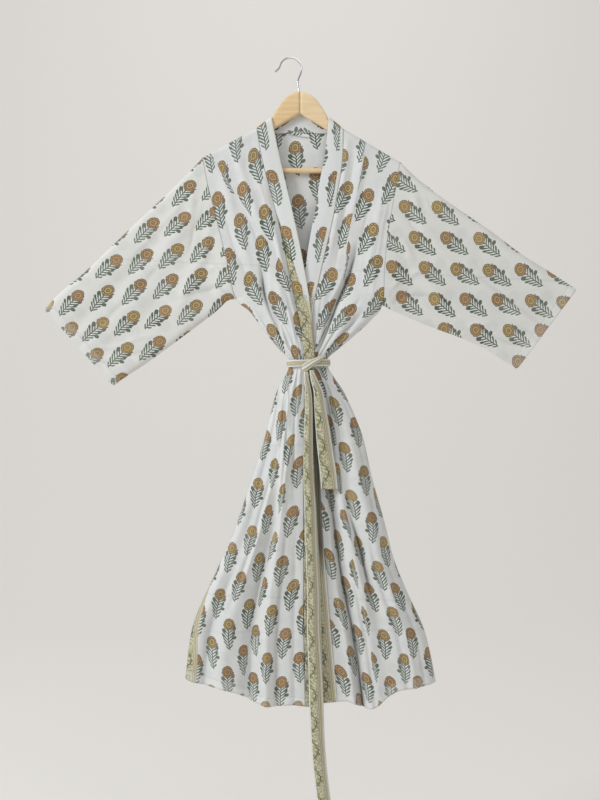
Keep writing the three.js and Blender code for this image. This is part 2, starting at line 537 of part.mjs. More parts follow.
function backPoint(row, column) {
  const right = sidePoint(RIGHT_FRONT, row);
  const left = sidePoint(LEFT_FRONT, row);
  const topRight = sidePoint(RIGHT_FRONT, 0);
  const topLeft = sidePoint(LEFT_FRONT, 0);
  const at = (column.x - topRight.x) / (topLeft.x - topRight.x);
  const rise = column.z - lerp(topRight.z, topLeft.z, at);
  const width = left.x - right.x;
  const sag = HEM_SAG.back * hemShare(row) * Math.sin(Math.PI * at);
  const x = lerp(right.x, left.x, at);
  const z = lerp(right.z, left.z, at) + rise * clamp(1 - row / ARMPIT_ROW, 0, 1) - sag;
  const started = SHOULDER_ROUND * (1 - Math.cos(degToRad(column.turn)));
  const fromTop = started + Math.hypot(x - column.x, z - column.z);
  const nearest = Math.min(
    at * width + aboveArmpit(RIGHT_FRONT, row), (1 - at) * width + aboveArmpit(LEFT_FRONT, row));
  const turn = arc(nearest / SIDE_ROUND) * arc(fromTop / SHOULDER_ROUND);
  const folded = foldDepth(BACK_FOLDS, row, at, width) + gatherDepth(row, at, width, GATHER.backWaves);
  const flat = smooth(fromTop / CALM.backTop) * smooth(nearest / CALM.backSide);
  const depth = (columnAt(BODY_DEPTH, 'back', row) + folded * flat) * turn;
  return new THREE.Vector3(x, depth + SEAM / 2, z);
}

function makeBack() {
  const last = BACK_COLUMNS.length - 1;
  const isNeck = (column) => column >= OUTER_SHARES.length && column <= last - OUTER_SHARES.length;
  const isCorner = (column) => column === OUTER_SHARES.length || column === last - OUTER_SHARES.length;
  const neckWays = BACK_COLUMNS.map((column) => {
    return column.edgeX === undefined ? ALONG_Y : stationDirection(column);
  });
  const sleeves = [sleeveDirection(RIGHT_FRONT), sleeveDirection(LEFT_FRONT)];
  const grid = PANEL_ROWS.map((row) => BACK_COLUMNS.map((column, index) => {
    const point = backPoint(row, column);
    if (row === 0 && isNeck(index)) {
      point.addScaledVector(neckWays[index], -SEAM / 2);
    }
    return point;
  }));
  const across = (row, column) => {
    if (row === 0) {
      return isNeck(column) && !isCorner(column) ? neckWays[column] : ALONG_Y;
    }
    if (column === 0 || column === last) {
      return PANEL_ROWS[row] < ARMPIT_ROW ? sleeves[column === 0 ? 0 : 1] : ALONG_Y;
    }
    return null;
  };
  const keep = (point) => {
    point.y = Math.max(point.y, SEAM / 2);
    return point;
  };
  addPiece('back', clothWall(grid, { thickness: CLOTH, outward: 1, across, keep }), COTTON);
}

function stationDirection(station) {
  return new THREE.Vector3(station.edgeX - station.x, 0, station.edgeZ - station.z).normalize();
}

// The neckband runs as one strip up the right front, round the back neck and down the left
// front. Its grid has a row for each station and three columns from the seam to the free edge.
const BAND_SHARES = [0, 0.5, 1];
const BAND_PROUD = 0.3;
const BAND_ROLL = 1.2;
const BAND_ROLL_TOP = 40;

function frontBandRow(side, row) {
  const front = FRONTS[side];
  const { table, lap } = front;
  const seam = frontPoint(front, row, 1);
  const direction = bandDirection(table, row);
  const top = frontLine(front, 0, 1);
  const fromTop = Math.hypot(seam.x - top.x, seam.z - top.z);
  const turn = arc(fromTop / SHOULDER_ROUND);
  const lapped = lap * smooth((row - LAP.fromRow) / (LAP.toRow - LAP.fromRow));
  const full = (columnAt(BODY_DEPTH, 'front', row) + lapped) * turn + BAND_PROUD;
  const edge = new THREE.Vector3(columnAt(table, 'edgeX', row), -full, columnAt(table, 'edgeZ', row));
  seam.y -= BAND_PROUD - SEAM / 2;
  seam.addScaledVector(direction, SEAM / 2);
  return BAND_SHARES.map((share) => {
    const point = seam.clone().lerp(edge, share);
    point.y -= BAND_ROLL * Math.sin(Math.PI * share) * smooth(fromTop / BAND_ROLL_TOP);
    return point;
  });
}

function neckBandRow(station) {
  const turn = degToRad(station.turn);
  const outY = (SHOULDER_ROUND + BAND_PROUD) * Math.sin(turn);
  const outZ = BAND_PROUD * Math.cos(turn);
  const seam = new THREE.Vector3(station.x, outY, station.z + outZ);
  const edge = new THREE.Vector3(station.edgeX, outY, station.edgeZ + outZ);
  seam.addScaledVector(stationDirection(station), SEAM / 2);
  return BAND_SHARES.map((share) => seam.clone().lerp(edge, share));
}

function makeNeckband() {
  const upward = [...PANEL_ROWS].reverse().filter((row) => row > 0);
  const downward = PANEL_ROWS.filter((row) => row > 0);
  const grid = [
    ...upward.map((row) => frontBandRow('right', row)),
    ...NECK_STATIONS.map(neckBandRow),
    ...downward.map((row) => frontBandRow('left', row)),
  ];
  const ways = [
    ...upward.map((row) => bandDirection(RIGHT_FRONT, row)),
    ...NECK_STATIONS.map(stationDirection),
    ...downward.map((row) => bandDirection(LEFT_FRONT, row)),
  ];
  const across = (row, column) => (column === 0 ? ways[row] : null);
  addPiece('neckband', clothWall(grid, { thickness: BAND_CLOTH, outward: 1, across }), BORDER);
}

// A sleeve is one tube: its ring runs down the front from the fold along its top to the seam
// underneath, and up the back. The first ring faces the armhole across the seam's gap.
function sleevePoint(table, body, section, row, face) {
  const at = row / ARMPIT_ROW;
  const blend = smooth(section / SLEEVE_BLEND);
  const top = { x: columnAt(table, 'topX', section), z: columnAt(table, 'topZ', section) };
  const under = { x: columnAt(table, 'underX', section), z: columnAt(table, 'underZ', section) };
  const width = Math.hypot(under.x - top.x, under.z - top.z);
  const armhole = sidePoint(body, row);
  const bow = 1 - smooth(section);
  const straight = { x: lerp(table[0].topX, table[0].underX, at), z: lerp(table[0].topZ, table[0].underZ, at) };
  const x = lerp(top.x, under.x, at) + (armhole.x - straight.x) * bow;
  const z = lerp(top.z, under.z, at) + (armhole.z - straight.z) * bow;
  const depthName = face < 0 ? 'front' : 'back';
  const roundTop = lerp(SHOULDER_ROUND, SLEEVE_ROUND, blend);
  const roundUnder = lerp(SIDE_ROUND, SLEEVE_ROUND, blend);
  const turn = arc((at * width) / roundTop) * arc(((1 - at) * width) / roundUnder);
  const full = lerp(columnAt(BODY_DEPTH, depthName, row), SLEEVE_DEPTH, blend);
  const inside = smooth((at * width) / CALM.sleeve) * smooth(((1 - at) * width) / CALM.sleeve);
  const folded = foldDepth(SLEEVE_FOLDS, section, at, width) * inside * smooth(section);
  return new THREE.Vector3(x, face * ((full + folded) * turn + SEAM / 2), z);
}

const SLEEVE_SECTIONS = [0, 0.5, 1, 2, 3, 4, 5, 6, 7, 8];

function makeSleeve(name, table, body) {
  const frontRows = ARMHOLE_ROWS;
  const backRows = [...ARMHOLE_ROWS].reverse().slice(1, -1);
  const direction = sleeveDirection(body);
  const grid = SLEEVE_SECTIONS.map((section) => {
    const ring = [
      ...frontRows.map((row) => sleevePoint(table, body, section, row, -1)),
      ...backRows.map((row) => sleevePoint(table, body, section, row, 1)),
    ];
    ring[0].y = 0;
    ring[frontRows.length - 1].y = 0;
    if (section === 0) {
      const rows = [...frontRows, ...backRows];
      ring.forEach((point, index) => {
        const { gap, fromRow, toRow } = ARMPIT_EASE;
        const ease = gap * smooth((rows[index] - fromRow) / (toRow - fromRow));
        point.addScaledVector(direction, SEAM + ease);
      });
    }
    return ring;
  });
  const outward = direction.x < 0 ? -1 : 1;
  const across = (row) => (row === 0 ? direction : null);
  addPiece(name, clothWall(grid, { thickness: CLOTH, outward, closed: true, across }), COTTON);
}

// Belt
function makeBeltWrap() {
  const middle = (RIGHT_FRONT[9].sideX + LEFT_FRONT[9].sideX) / 2;
  const halfWide = (LEFT_FRONT[9].sideX - RIGHT_FRONT[9].sideX) / 2 + BELT.gap + BAND_CLOTH + BELT.ease;
  const front = BODY_DEPTH[9].front + LAP.over + BAND_ROLL + GATHER.depth / 2 + BELT.gap + BAND_CLOTH;
  const back = BODY_DEPTH[9].back + GATHER.depth + BELT.gap - BELT.tuckedBehind + BAND_CLOTH;
  const middleZ = (RIGHT_FRONT[9].sideZ + RIGHT_FRONT[10].sideZ) / 2;
  const bulge = (value) => Math.sign(value) * Math.abs(value) ** BELT.squareness;
  const levels = [-0.5, 0, 0.5];
  const grid = levels.map((level) => Array.from({ length: BELT.around }, (_, step) => {
    const angle = (2 * Math.PI * step) / BELT.around;
    const deep = Math.sin(angle) > 0 ? back : front;
    const proud = BELT.proud * Math.cos(Math.PI * level);
    const slope = BELT.slope * Math.cos(angle);
    return new THREE.Vector3(
      middle + (halfWide + proud) * bulge(Math.cos(angle)),
      (deep + proud) * bulge(Math.sin(angle)),
      middleZ + slope + level * BELT.ringHigh);
  }));
  addPiece('belt_wrap', clothWall(grid, { thickness: BAND_CLOTH, outward: 1, closed: true }), BORDER);
}

function makeTail(name, table) {
  const shares = [-1, 0, 1];
  const grid = table.map((line) => shares.map((share) => new THREE.Vector3(
    line.x + (share * line.width) / 2,
    line.y - BAND_CLOTH - line.curl * (1 - Math.abs(share)),
    line.z)));
  addPiece(name, clothWall(grid, { thickness: BAND_CLOTH, outward: -1 }), BORDER);
}

// Closed body through oval sections along a path.
function ovalLoft(sections, sides) {
  const positions = [];
  const indices = [];
  sections.forEach((section, index) => {
    const before = sections[Math.max(index - 1, 0)];
    const after = sections[Math.min(index + 1, sections.length - 1)];
    const way = new THREE.Vector3(after.x - before.x, after.y - before.y, after.z - before.z).normalize();
    const deepWay = ALONG_Y.clone().addScaledVector(way, -way.y).normalize();
    const wideWay = way.clone().cross(deepWay);
    for (let side = 0; side < sides; side += 1) {
      const angle = (2 * Math.PI * side) / sides;
      const point = new THREE.Vector3(section.x, section.y, section.z)
        .addScaledVector(wideWay, section.wide * Math.cos(angle))
        .addScaledVector(deepWay, section.deep * Math.sin(angle));
      positions.push(point.x, point.y, point.z);
    }
  });
  const ends = [sections[0], sections.at(-1)];
  ends.forEach((end) => positions.push(end.x, end.y, end.z));
  const [firstEnd, lastEnd] = [sections.length * sides, sections.length * sides + 1];
  for (let side = 0; side < sides; side += 1) {
    const next = (side + 1) % sides;
    indices.push(firstEnd, side, next);
    for (let index = 0; index < sections.length - 1; index += 1) {
      const [here, ahead] = [index * sides, (index + 1) * sides];
      indices.push(here + side, ahead + next, here + next, here + side, ahead + side, ahead + next);
    }
    const rim = (sections.length - 1) * sides;
    indices.push(lastEnd, rim + next, rim + side);
  }
  const geometry = new THREE.BufferGeometry();
  geometry.setAttribute('position', new THREE.Float32BufferAttribute(positions, 3));
  geometry.setIndex(indices);
  return geometry;
}

function makeLoop() {
  const neckFace = BODY_DEPTH[0].back + BAND_PROUD - BAND_CLOTH;
  const grid = LOOP.map((line) => [-1, 0, 1].map((share) => new THREE.Vector3(
    line.x, neckFace - SEAM - CLOTH - LOOP_BOW * (1 - Math.abs(share)), line.z + (share * line.high) / 2)));
  addPiece('hanging_loop', clothWall(grid, { thickness: CLOTH, outward: -1 }), COTTON);
}

// Hanger
function toManifold(geometry) {
  const bare = geometry.clone();
  bare.deleteAttribute('normal');
  bare.deleteAttribute('uv');
  const merged = mergeVertices(bare, 1e-4);
  return new wasm.Manifold(new wasm.Mesh({
    numProp: 3,
    vertProperties: new Float32Array(merged.attributes.position.array),
    triVerts: new Uint32Array(merged.index.array),
  }));
}

function toGeometry(solid) {
  const mesh = solid.getMesh();
  const geometry = new THREE.BufferGeometry();
  geometry.setAttribute('position', new THREE.Float32BufferAttribute(mesh.vertProperties, 3));
  geometry.setIndex(Array.from(mesh.triVerts));
  return geometry;
}

// The outline of one arm, from the joint in the middle to its tip. Its upper edge follows the
// cloth's shoulder line, lower by the clearance that leaves room for the turned cloth.
function armOutline(table, outwards) {
  const reach = (x) => CENTRE_X + outwards * x;
  const neck = { x: outwards * (table[0].seamX - CENTRE_X), z: table[0].seamZ };
  const shoulder = { x: outwards * (table[0].sideX - CENTRE_X), z: table[0].sideZ };
  const slope = (shoulder.z - neck.z) / (shoulder.x - neck.x);
  const drop = HANGER.clearance * Math.hypot(1, slope);
  const upperZ = (x) => neck.z + slope * (x - neck.x) - drop;
  const tip = HANGER.tipX;
  const foot = upperZ(tip) - HANGER.tipFoot;
  const outline = new THREE.Shape();
  outline.moveTo(reach(SEAM / 2), HANGER.topZ);
  const { collar, dip, neckEase, tip: end, under } = ARM;
  outline.bezierCurveTo(
    reach(collar.x), HANGER.topZ, reach(collar.nearX), collar.nearZ, reach(collar.endX), collar.endZ);
  outline.lineTo(reach(dip.x), dip.z);
  outline.lineTo(reach(neck.x - neckEase.x), neck.z - drop - neckEase.z);
  outline.lineTo(reach(tip - end.round), upperZ(tip - end.round));
  outline.quadraticCurveTo(
    reach(tip + end.bulge), upperZ(tip + 1), reach(tip + end.beyond), upperZ(tip) - end.drop);
  outline.lineTo(reach(tip + 1), foot + end.heel);
  outline.quadraticCurveTo(reach(tip - 2), foot, reach(tip - end.footRound), foot);
  outline.lineTo(reach(tip - end.flat), foot + 1);
  outline.quadraticCurveTo(
    reach(tip - under.bendBack), foot + under.bendUp, reach(under.x), under.z);
  outline.lineTo(reach(SEAM / 2), HANGER.peakZ);
  return outline;
}

function makeArm(name, table, outwards, finish) {
  const { thick, round } = HANGER;
  const blank = new THREE.ExtrudeGeometry(armOutline(table, outwards), {
    depth: thick - 2 * round,
    bevelEnabled: true,
    bevelThickness: round,
    bevelSize: round,
    bevelOffset: -round,
    bevelSegments: 3,
    curveSegments: 7,
  });
  blank.rotateX(Math.PI / 2);
  blank.translate(0, thick / 2 - round, 0);
  const socket = new THREE.CylinderGeometry(
    HANGER.barRadius + HANGER.socket, HANGER.barRadius + HANGER.socket, 2 * HANGER.barHalf + 1, ROUND_SIDES);
  socket.rotateZ(Math.PI / 2);
  socket.translate(CENTRE_X, 0, HANGER.barZ);
  const bore = new THREE.CylinderGeometry(HOOK.hole, HOOK.hole, HOOK.holeDepth, HOOK.holeSides);
  bore.rotateX(Math.PI / 2);
  bore.translate(HOOK.shankX, 0, HANGER.topZ);
  const arm = toManifold(blank).subtract(toManifold(socket)).subtract(toManifold(bore));
  addPiece(name, toGeometry(arm), finish);
}

function makeBar() {
  const bar = new THREE.CylinderGeometry(HANGER.barRadius, HANGER.barRadius, 2 * HANGER.barHalf, ROUND_SIDES);
  bar.rotateZ(Math.PI / 2);
  bar.translate(CENTRE_X, 0, HANGER.barZ);
  addPiece('hanger_bar', bar, WOOD);
}

function makeHook() {
  const { wire, bend } = HOOK;
  const centreZ = wire - bend;
  const onBend = (degrees) => new THREE.Vector3(
    bend * Math.cos(degToRad(degrees)), 0, centreZ + bend * Math.sin(degToRad(degrees)));
  const inPlane = ({ x, z }) => new THREE.Vector3(x, 0, z);
  const route = [...HOOK_END.map(inPlane), ...HOOK_BEND.map(onBend), ...HOOK_SHANK.map(inPlane)];
  const section = new THREE.Shape();
  section.absarc(0, 0, wire, 0, 2 * Math.PI);
  const geometry = new THREE.ExtrudeGeometry(section, {
    steps: HOOK.steps,
    curveSegments: HOOK.sideSegments,
    extrudePath: new THREE.CatmullRomCurve3(route),
    bevelEnabled: false,
  });
  addPiece('hanger_hook', geometry, STEEL);
}

makeBack();
makeFront('front_right', 'right');
makeFront('front_left', 'left');
makeSleeve('sleeve_right', RIGHT_SLEEVE, RIGHT_FRONT);
makeSleeve('sleeve_left', LEFT_SLEEVE, LEFT_FRONT);
makeNeckband();
makeBeltWrap();
addPiece('belt_knot', ovalLoft(KNOT, KNOT_SIDES), BORDER);
makeTail('belt_tail_long', LONG_TAIL);
makeTail('belt_tail_short', SHORT_TAIL);
makeLoop();
makeArm('hanger_arm_right', RIGHT_FRONT, -1, WOOD);
makeArm('hanger_arm_left', LEFT_FRONT, 1, { ...WOOD, color: 0xe8cfa4 });
makeBar();
makeHook();

export default robe;
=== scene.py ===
# %% [markdown]
# # A printed cotton kimono robe on a wooden hanger
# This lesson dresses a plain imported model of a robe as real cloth. The model gives the frame: its
# origin is the point inside the hanger's hook where a peg carries it, +Z is up, and -Y is the front
# of the robe. Right and left are the wearer's own. Every length below is in millimetres until a
# point is placed, and then it becomes metres.

# %% Load the frame
from collections import namedtuple
import math

import bmesh
import bpy
import numpy as np
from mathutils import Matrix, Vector


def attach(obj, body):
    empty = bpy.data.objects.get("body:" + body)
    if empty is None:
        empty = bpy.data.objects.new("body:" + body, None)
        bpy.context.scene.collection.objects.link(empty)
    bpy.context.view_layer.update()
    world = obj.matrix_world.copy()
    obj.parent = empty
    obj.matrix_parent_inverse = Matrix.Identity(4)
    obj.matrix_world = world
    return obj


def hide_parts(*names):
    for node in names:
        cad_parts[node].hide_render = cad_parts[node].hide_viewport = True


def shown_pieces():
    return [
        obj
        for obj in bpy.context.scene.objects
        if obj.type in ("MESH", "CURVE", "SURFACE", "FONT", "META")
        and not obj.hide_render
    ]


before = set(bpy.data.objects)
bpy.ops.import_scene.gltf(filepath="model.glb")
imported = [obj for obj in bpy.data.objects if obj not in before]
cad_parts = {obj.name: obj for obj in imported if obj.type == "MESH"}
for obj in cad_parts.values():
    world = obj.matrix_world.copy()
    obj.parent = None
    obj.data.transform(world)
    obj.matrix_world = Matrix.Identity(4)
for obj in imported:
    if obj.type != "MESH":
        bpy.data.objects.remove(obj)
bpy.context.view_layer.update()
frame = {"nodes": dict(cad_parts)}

MM = 0.001
print("nodes:", ", ".join(frame["nodes"]))

# %% [markdown]
# ## The camera
# The robe is seen level and straight on. The picture is 600 by 800, so the lens is fitted to the
# height of the view, and the tall sensor gives the same field in any window.

# %% Camera
VIEW_DISTANCE = 2000
VIEW_CENTRE = (20.4, -734)
VIEW_HEIGHT = 1720
SENSOR = 36

camera = bpy.data.objects.new("camera", bpy.data.cameras.new("camera"))
bpy.context.collection.objects.link(camera)
camera.data.sensor_fit = "VERTICAL"
camera.data.sensor_height = SENSOR
camera.data.sensor_width = SENSOR * 600 / 800
camera.data.lens = SENSOR * VIEW_DISTANCE / VIEW_HEIGHT
camera.location = (VIEW_CENTRE[0] * MM, -VIEW_DISTANCE * MM, VIEW_CENTRE[1] * MM)
camera.rotation_euler = (math.radians(90), 0, 0)
bpy.context.scene.camera = camera
print("lens", round(camera.data.lens, 2))

# %% [markdown]
# ## The cut of the robe
# The robe hangs flat: two fronts, a back, two sleeves, a neckband and a sash. Each front is a table
# of rows from the shoulder (row 0) to the hem (row 19). A row gives the side edge, the seam of the
# neckband and the neckband's free edge, as x and z. The sleeves are cut the same way, from the
# armhole to the cuff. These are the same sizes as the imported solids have.

# %% Sizes of the body
SEAM = 0.3
SIDE_ROUND = 35
SHOULDER_ROUND = 10
CENTRE_X = 20.5
ARMPIT_ROW = 5
HEM_ROW = 19

FRONT_NAMES = ("side_x", "side_z", "seam_x", "seam_z", "edge_x", "edge_z")
RIGHT_FRONT_ROWS = [
    (-188, -213, -72, -149, -42, -126),
    (-177, -272, -61, -214, -25, -207),
    (-162, -330, -46, -274, -10, -272),
    (-147, -390, -30, -334, 5, -336),
    (-132, -450, -15, -399, 19, -401),
    (-117, -517, -2, -467, 32, -470),
    (-87, -545, 9, -519, 40, -521),
    (-57, -586, 20, -566, 45, -568),
    (-29, -620, 26, -611, 49, -614),
    (-4, -646, 28, -646, 51, -646),
    (-4, -665, 28, -665, 51, -665),
    (-18, -695, 29, -695, 53, -695),
    (-34, -728, 29, -730, 54, -730),
    (-56, -816, 29, -820, 56, -820),
    (-86, -910, 29, -919, 58, -919),
    (-119, -1008, 29, -1016, 60, -1016),
    (-155, -1091, 29, -1100, 62, -1100),
    (-186, -1158, 29, -1170, 64, -1170),
    (-212, -1226, 30, -1250, 66, -1250),
    (-226, -1330, 33, -1383, 70, -1383),
]
LEFT_FRONT_ROWS = [
    (235, -223, 113, -151, 83, -126),
    (225, -283, 111, -222, 75, -203),
    (216, -334, 102, -283, 64, -262),
    (207, -390, 92, -341, 54, -324),
    (201, -459, 78, -403, 42, -388),
    (197, -530, 62, -472, 31, -456),
    (175, -560, 51, -523, 23, -513),
    (144, -590, 45, -571, 18, -564),
    (109, -620, 42, -614, 15, -611),
    (81, -644, 41, -644, 14, -644),
    (81, -663, 42, -665, 14, -665),
    (96, -689, 46, -693, 14, -693),
    (119, -725, 50, -730, 15, -730),
    (154, -809, 57, -820, 17, -820),
    (175, -900, 63, -919, 22, -919),
    (201, -992, 68, -1016, 27, -1016),
    (223, -1078, 75, -1100, 33, -1100),
    (253, -1151, 81, -1170, 38, -1170),
    (289, -1233, 88, -1250, 45, -1250),
    (312, -1336, 100, -1375, 57, -1379),
]
DEPTH_NAMES = ("front", "back")
BODY_DEPTH_ROWS = [
    (10, 10), (10, 10), (12, 10), (14, 10), (16, 10), (17, 10), (18, 10.5), (19, 11), (20, 12),
    (21, 13), (21, 13), (21, 12), (20, 12), (20, 13), (21, 14), (22, 15), (24, 16), (25, 17),
    (26, 18), (27, 18),
]


def columns_of(names, rows):
    """A table as one array for each named column."""
    return dict(zip(names, np.array(rows, float).T))


RIGHT_FRONT = columns_of(FRONT_NAMES, RIGHT_FRONT_ROWS)
LEFT_FRONT = columns_of(FRONT_NAMES, LEFT_FRONT_ROWS)
BODY_DEPTH = columns_of(DEPTH_NAMES, BODY_DEPTH_ROWS)
print("front rows", len(RIGHT_FRONT_ROWS), "down to z", RIGHT_FRONT["seam_z"][-1])

# %% [markdown]
# The rows are only a few, so the cloth runs on a smooth curve through them. A quarter circle
# rounds its edges, and soft steps fade folds and laps in and out.

# %% Curve helpers


def smooth(value):
    """0 below 0, 1 above 1 and a soft step between them."""
    share = np.clip(value, 0, 1)
    return share * share * (3 - 2 * share)


def arc(share):
    """Height of a quarter circle of radius 1 at this share of the way in from its edge."""
    inward = 1 - np.clip(share, 0, 1)
    return np.sqrt(1 - inward * inward)


def blend(first, second, share):
    return first + (second - first) * share


def column_at(values, row):
    """A table column at rows between two of its own, on a smooth curve."""
    row = np.asarray(row, float)
    last = len(values) - 1
    base = np.clip(np.floor(row), 0, last - 1).astype(int)
    share = row - base
    a, b, c, d = (values[np.clip(base + shift, 0, last)] for shift in (-1, 0, 1, 2))
    bend = 2 * a - 5 * b + 4 * c - d
    twist = 3 * b - a - 3 * c + d
    return b + 0.5 * share * (c - a + share * (bend + share * twist))


print("row 4.5 of the side is at x", round(float(column_at(RIGHT_FRONT["side_x"], 4.5)), 1))

# %% [markdown]
# ## Folds
# Cloth that hangs from a hanger and is tied at the waist falls into long folds. Each fold is a soft
# ridge, or a trough with a minus depth, whose line passes three points: a row, and how far it lies
# from the side (0) to the neckband (1). The first tables are the folds of the solids. The creases
# after them are the finer ones, and the back and the hidden sides get similar ones.

# %% Fold tables
Fold = namedtuple("Fold", "row1 at1 row2 at2 row3 at3 width depth")
RIGHT_FOLDS = [
    (0, 0.5, 0.9, 0.6, 3.6, 0.7, 15, 3.5),
    (0.8, 0.28, 2.5, 0.3, 4.6, 0.36, 16, 3),
    (4.2, 0.57, 6, 0.5, 8.8, 0.2, 13, -6),
    (4.6, 0.78, 6.5, 0.76, 8.9, 0.62, 16, 5),
    (1.6, 1, 5, 1, 9, 1, 11, -4.5),
    (10.2, 0.2, 12, 0.41, 13.6, 0.6, 12, -5),
    (12.8, 0.62, 15, 0.72, 19, 0.68, 24, 7),
    (13.6, 0.5, 16, 0.52, 19, 0.5, 20, -6),
    (13.2, 0.5, 16, 0.34, 19, 0.31, 24, 7),
    (12.5, 0.16, 16, 0.17, 19, 0.16, 18, -4),
]
LEFT_FOLDS = [
    (0.2, 0.93, 2.2, 0.94, 4.6, 0.93, 12, 4),
    (0, 0.62, 1.2, 0.66, 3.2, 0.7, 14, 3.5),
    (0.8, 0.2, 2.5, 0.22, 4.8, 0.28, 16, 3),
    (3.4, 0.52, 6, 0.66, 8.7, 0.66, 14, -7),
    (4.8, 0.9, 6.5, 0.88, 8.8, 0.86, 14, 4),
    (5.6, 0.22, 7.5, 0.24, 8.9, 0.3, 13, -5),
    (5.2, 0.42, 7, 0.45, 8.9, 0.48, 14, 4),
    (13.4, 0.82, 16, 0.775, 19, 0.74, 17, -13),
    (14.2, 0.55, 16, 0.43, 18.2, 0.46, 17, -6),
    (12.8, 0.66, 16, 0.6, 19, 0.6, 24, 7),
    (12.6, 0.3, 16, 0.24, 19, 0.26, 26, 6),
]
BACK_FOLDS = [
    (1, 0.3, 5, 0.34, 9, 0.3, 22, 4),
    (2, 0.5, 6, 0.52, 9, 0.5, 26, -4),
    (1, 0.68, 5, 0.7, 9, 0.7, 20, 4.5),
    (4, 0.17, 6.5, 0.2, 9, 0.2, 16, -4),
    (4, 0.84, 6.5, 0.82, 9, 0.82, 16, -4),
    (10.4, 0.16, 14, 0.17, 19, 0.14, 30, 6),
    (10.6, 0.32, 14, 0.31, 19, 0.27, 26, -6),
    (10.4, 0.45, 14, 0.44, 19, 0.41, 34, 7),
    (10.8, 0.58, 14, 0.6, 19, 0.57, 28, -7),
    (10.4, 0.72, 14, 0.73, 19, 0.71, 32, 7),
    (11, 0.86, 14, 0.86, 19, 0.86, 24, -5),
]
SLEEVE_FOLDS = [
    (0.6, 0.12, 2.5, 0.3, 5, 0.42, 26, 2.5),
    (0.6, 0.5, 2.5, 0.62, 4.6, 0.8, 24, 3),
    (3.4, 0.2, 5.5, 0.3, 8, 0.36, 24, -2.5),
    (4, 0.62, 6, 0.66, 8, 0.7, 26, -2.5),
]
FOLD_FADE_ROWS = 1.2
FOLD_FADE_START = 0.2
FULL_WIDTH = 140
LEAST_SHARE = 0.2
FOLD_STEEPNESS = 12
FOLD_SHAPE = 2.0
CREASE_STEEPNESS = 5
CREASE_SHAPE = 1.35
GATHER_ROW = 9.5
GATHER_ABOVE = 4.5
GATHER_BELOW = 4.2
GATHER_DEPTH = 3
GATHER_STEEPNESS = 90
PANEL_WAVES = 4
BACK_WAVES = 6
print("folds:", len(RIGHT_FOLDS) + len(LEFT_FOLDS) + len(BACK_FOLDS) + len(SLEEVE_FOLDS))

# %% [markdown]
# A fold's profile is a bell, as high as its depth in the middle. A narrow fold can't be deep, so
# its height is held under its width squared over a steepness. The gathers under the sash are
# short even waves, and they die out a few rows above and below it.

# %% Fold depth


def fold_line(fold, row):
    """Where a fold's line lies at each row."""
    upper = blend(fold.at1, fold.at2, smooth((row - fold.row1) / (fold.row2 - fold.row1)))
    lower = blend(fold.at2, fold.at3, smooth((row - fold.row2) / (fold.row3 - fold.row2)))
    return np.where(row < fold.row2, upper, lower)


def fold_fade(fold, row):
    """1 along a fold and less at its ends, unless it starts at the top or runs to the hem."""
    fade = 1
    if fold.row1 > 0:
        fade = fade * smooth((row - fold.row1) / FOLD_FADE_ROWS + FOLD_FADE_START)
    if fold.row3 < HEM_ROW:
        fade = fade * smooth((fold.row3 - row) / FOLD_FADE_ROWS + FOLD_FADE_START)
    return fade


def fold_depth(folds, row, at, panel_width, steep=FOLD_STEEPNESS, shape=FOLD_SHAPE):
    """What the folds add to a panel's depth at each row and place across."""
    total = np.zeros_like(row + at)
    for fold in map(Fold._make, folds):
        wide = fold.width * np.clip(panel_width / FULL_WIDTH, LEAST_SHARE, 1)
        away = (at - fold_line(fold, row)) * panel_width / wide
        height = np.minimum(abs(fold.depth) * fold_fade(fold, row), wide * wide / steep)
        total = total + math.copysign(1, fold.depth) * height * np.exp(-2 * np.abs(away) ** shape)
    return total


def crease_depth(creases, row, at, panel_width):
    """The same for fine creases, which may be steeper and have a sharper line."""
    return fold_depth(creases, row, at, panel_width, CREASE_STEEPNESS, CREASE_SHAPE)


def gather_depth(row, at, panel_width, waves):
    """Waves that the sash gathers into the cloth, dying out above and below it."""
    reach = np.where(row < GATHER_ROW, GATHER_ABOVE, GATHER_BELOW)
    share = 1 - smooth(np.abs(row - GATHER_ROW) / reach)
    pitch = panel_width / waves
    height = np.minimum(GATHER_DEPTH, pitch * pitch / GATHER_STEEPNESS) * share
    uneven = at + 0.035 * np.sin(9 * at + 1.3)
    return height * np.sin(2 * np.pi * waves * uneven)


test_row = np.array([[2.0], [15.0]])
print("fold depths across", np.round(fold_depth(RIGHT_FOLDS, test_row, np.array([[0.3, 0.7]]), 120.0), 1))

# %% [markdown]
# The finer creases of the two fronts. In the bodice they run from the shoulders to the knot. In the
# skirt they fall from the sash to the hem, and the left front has two sharp pleats there.

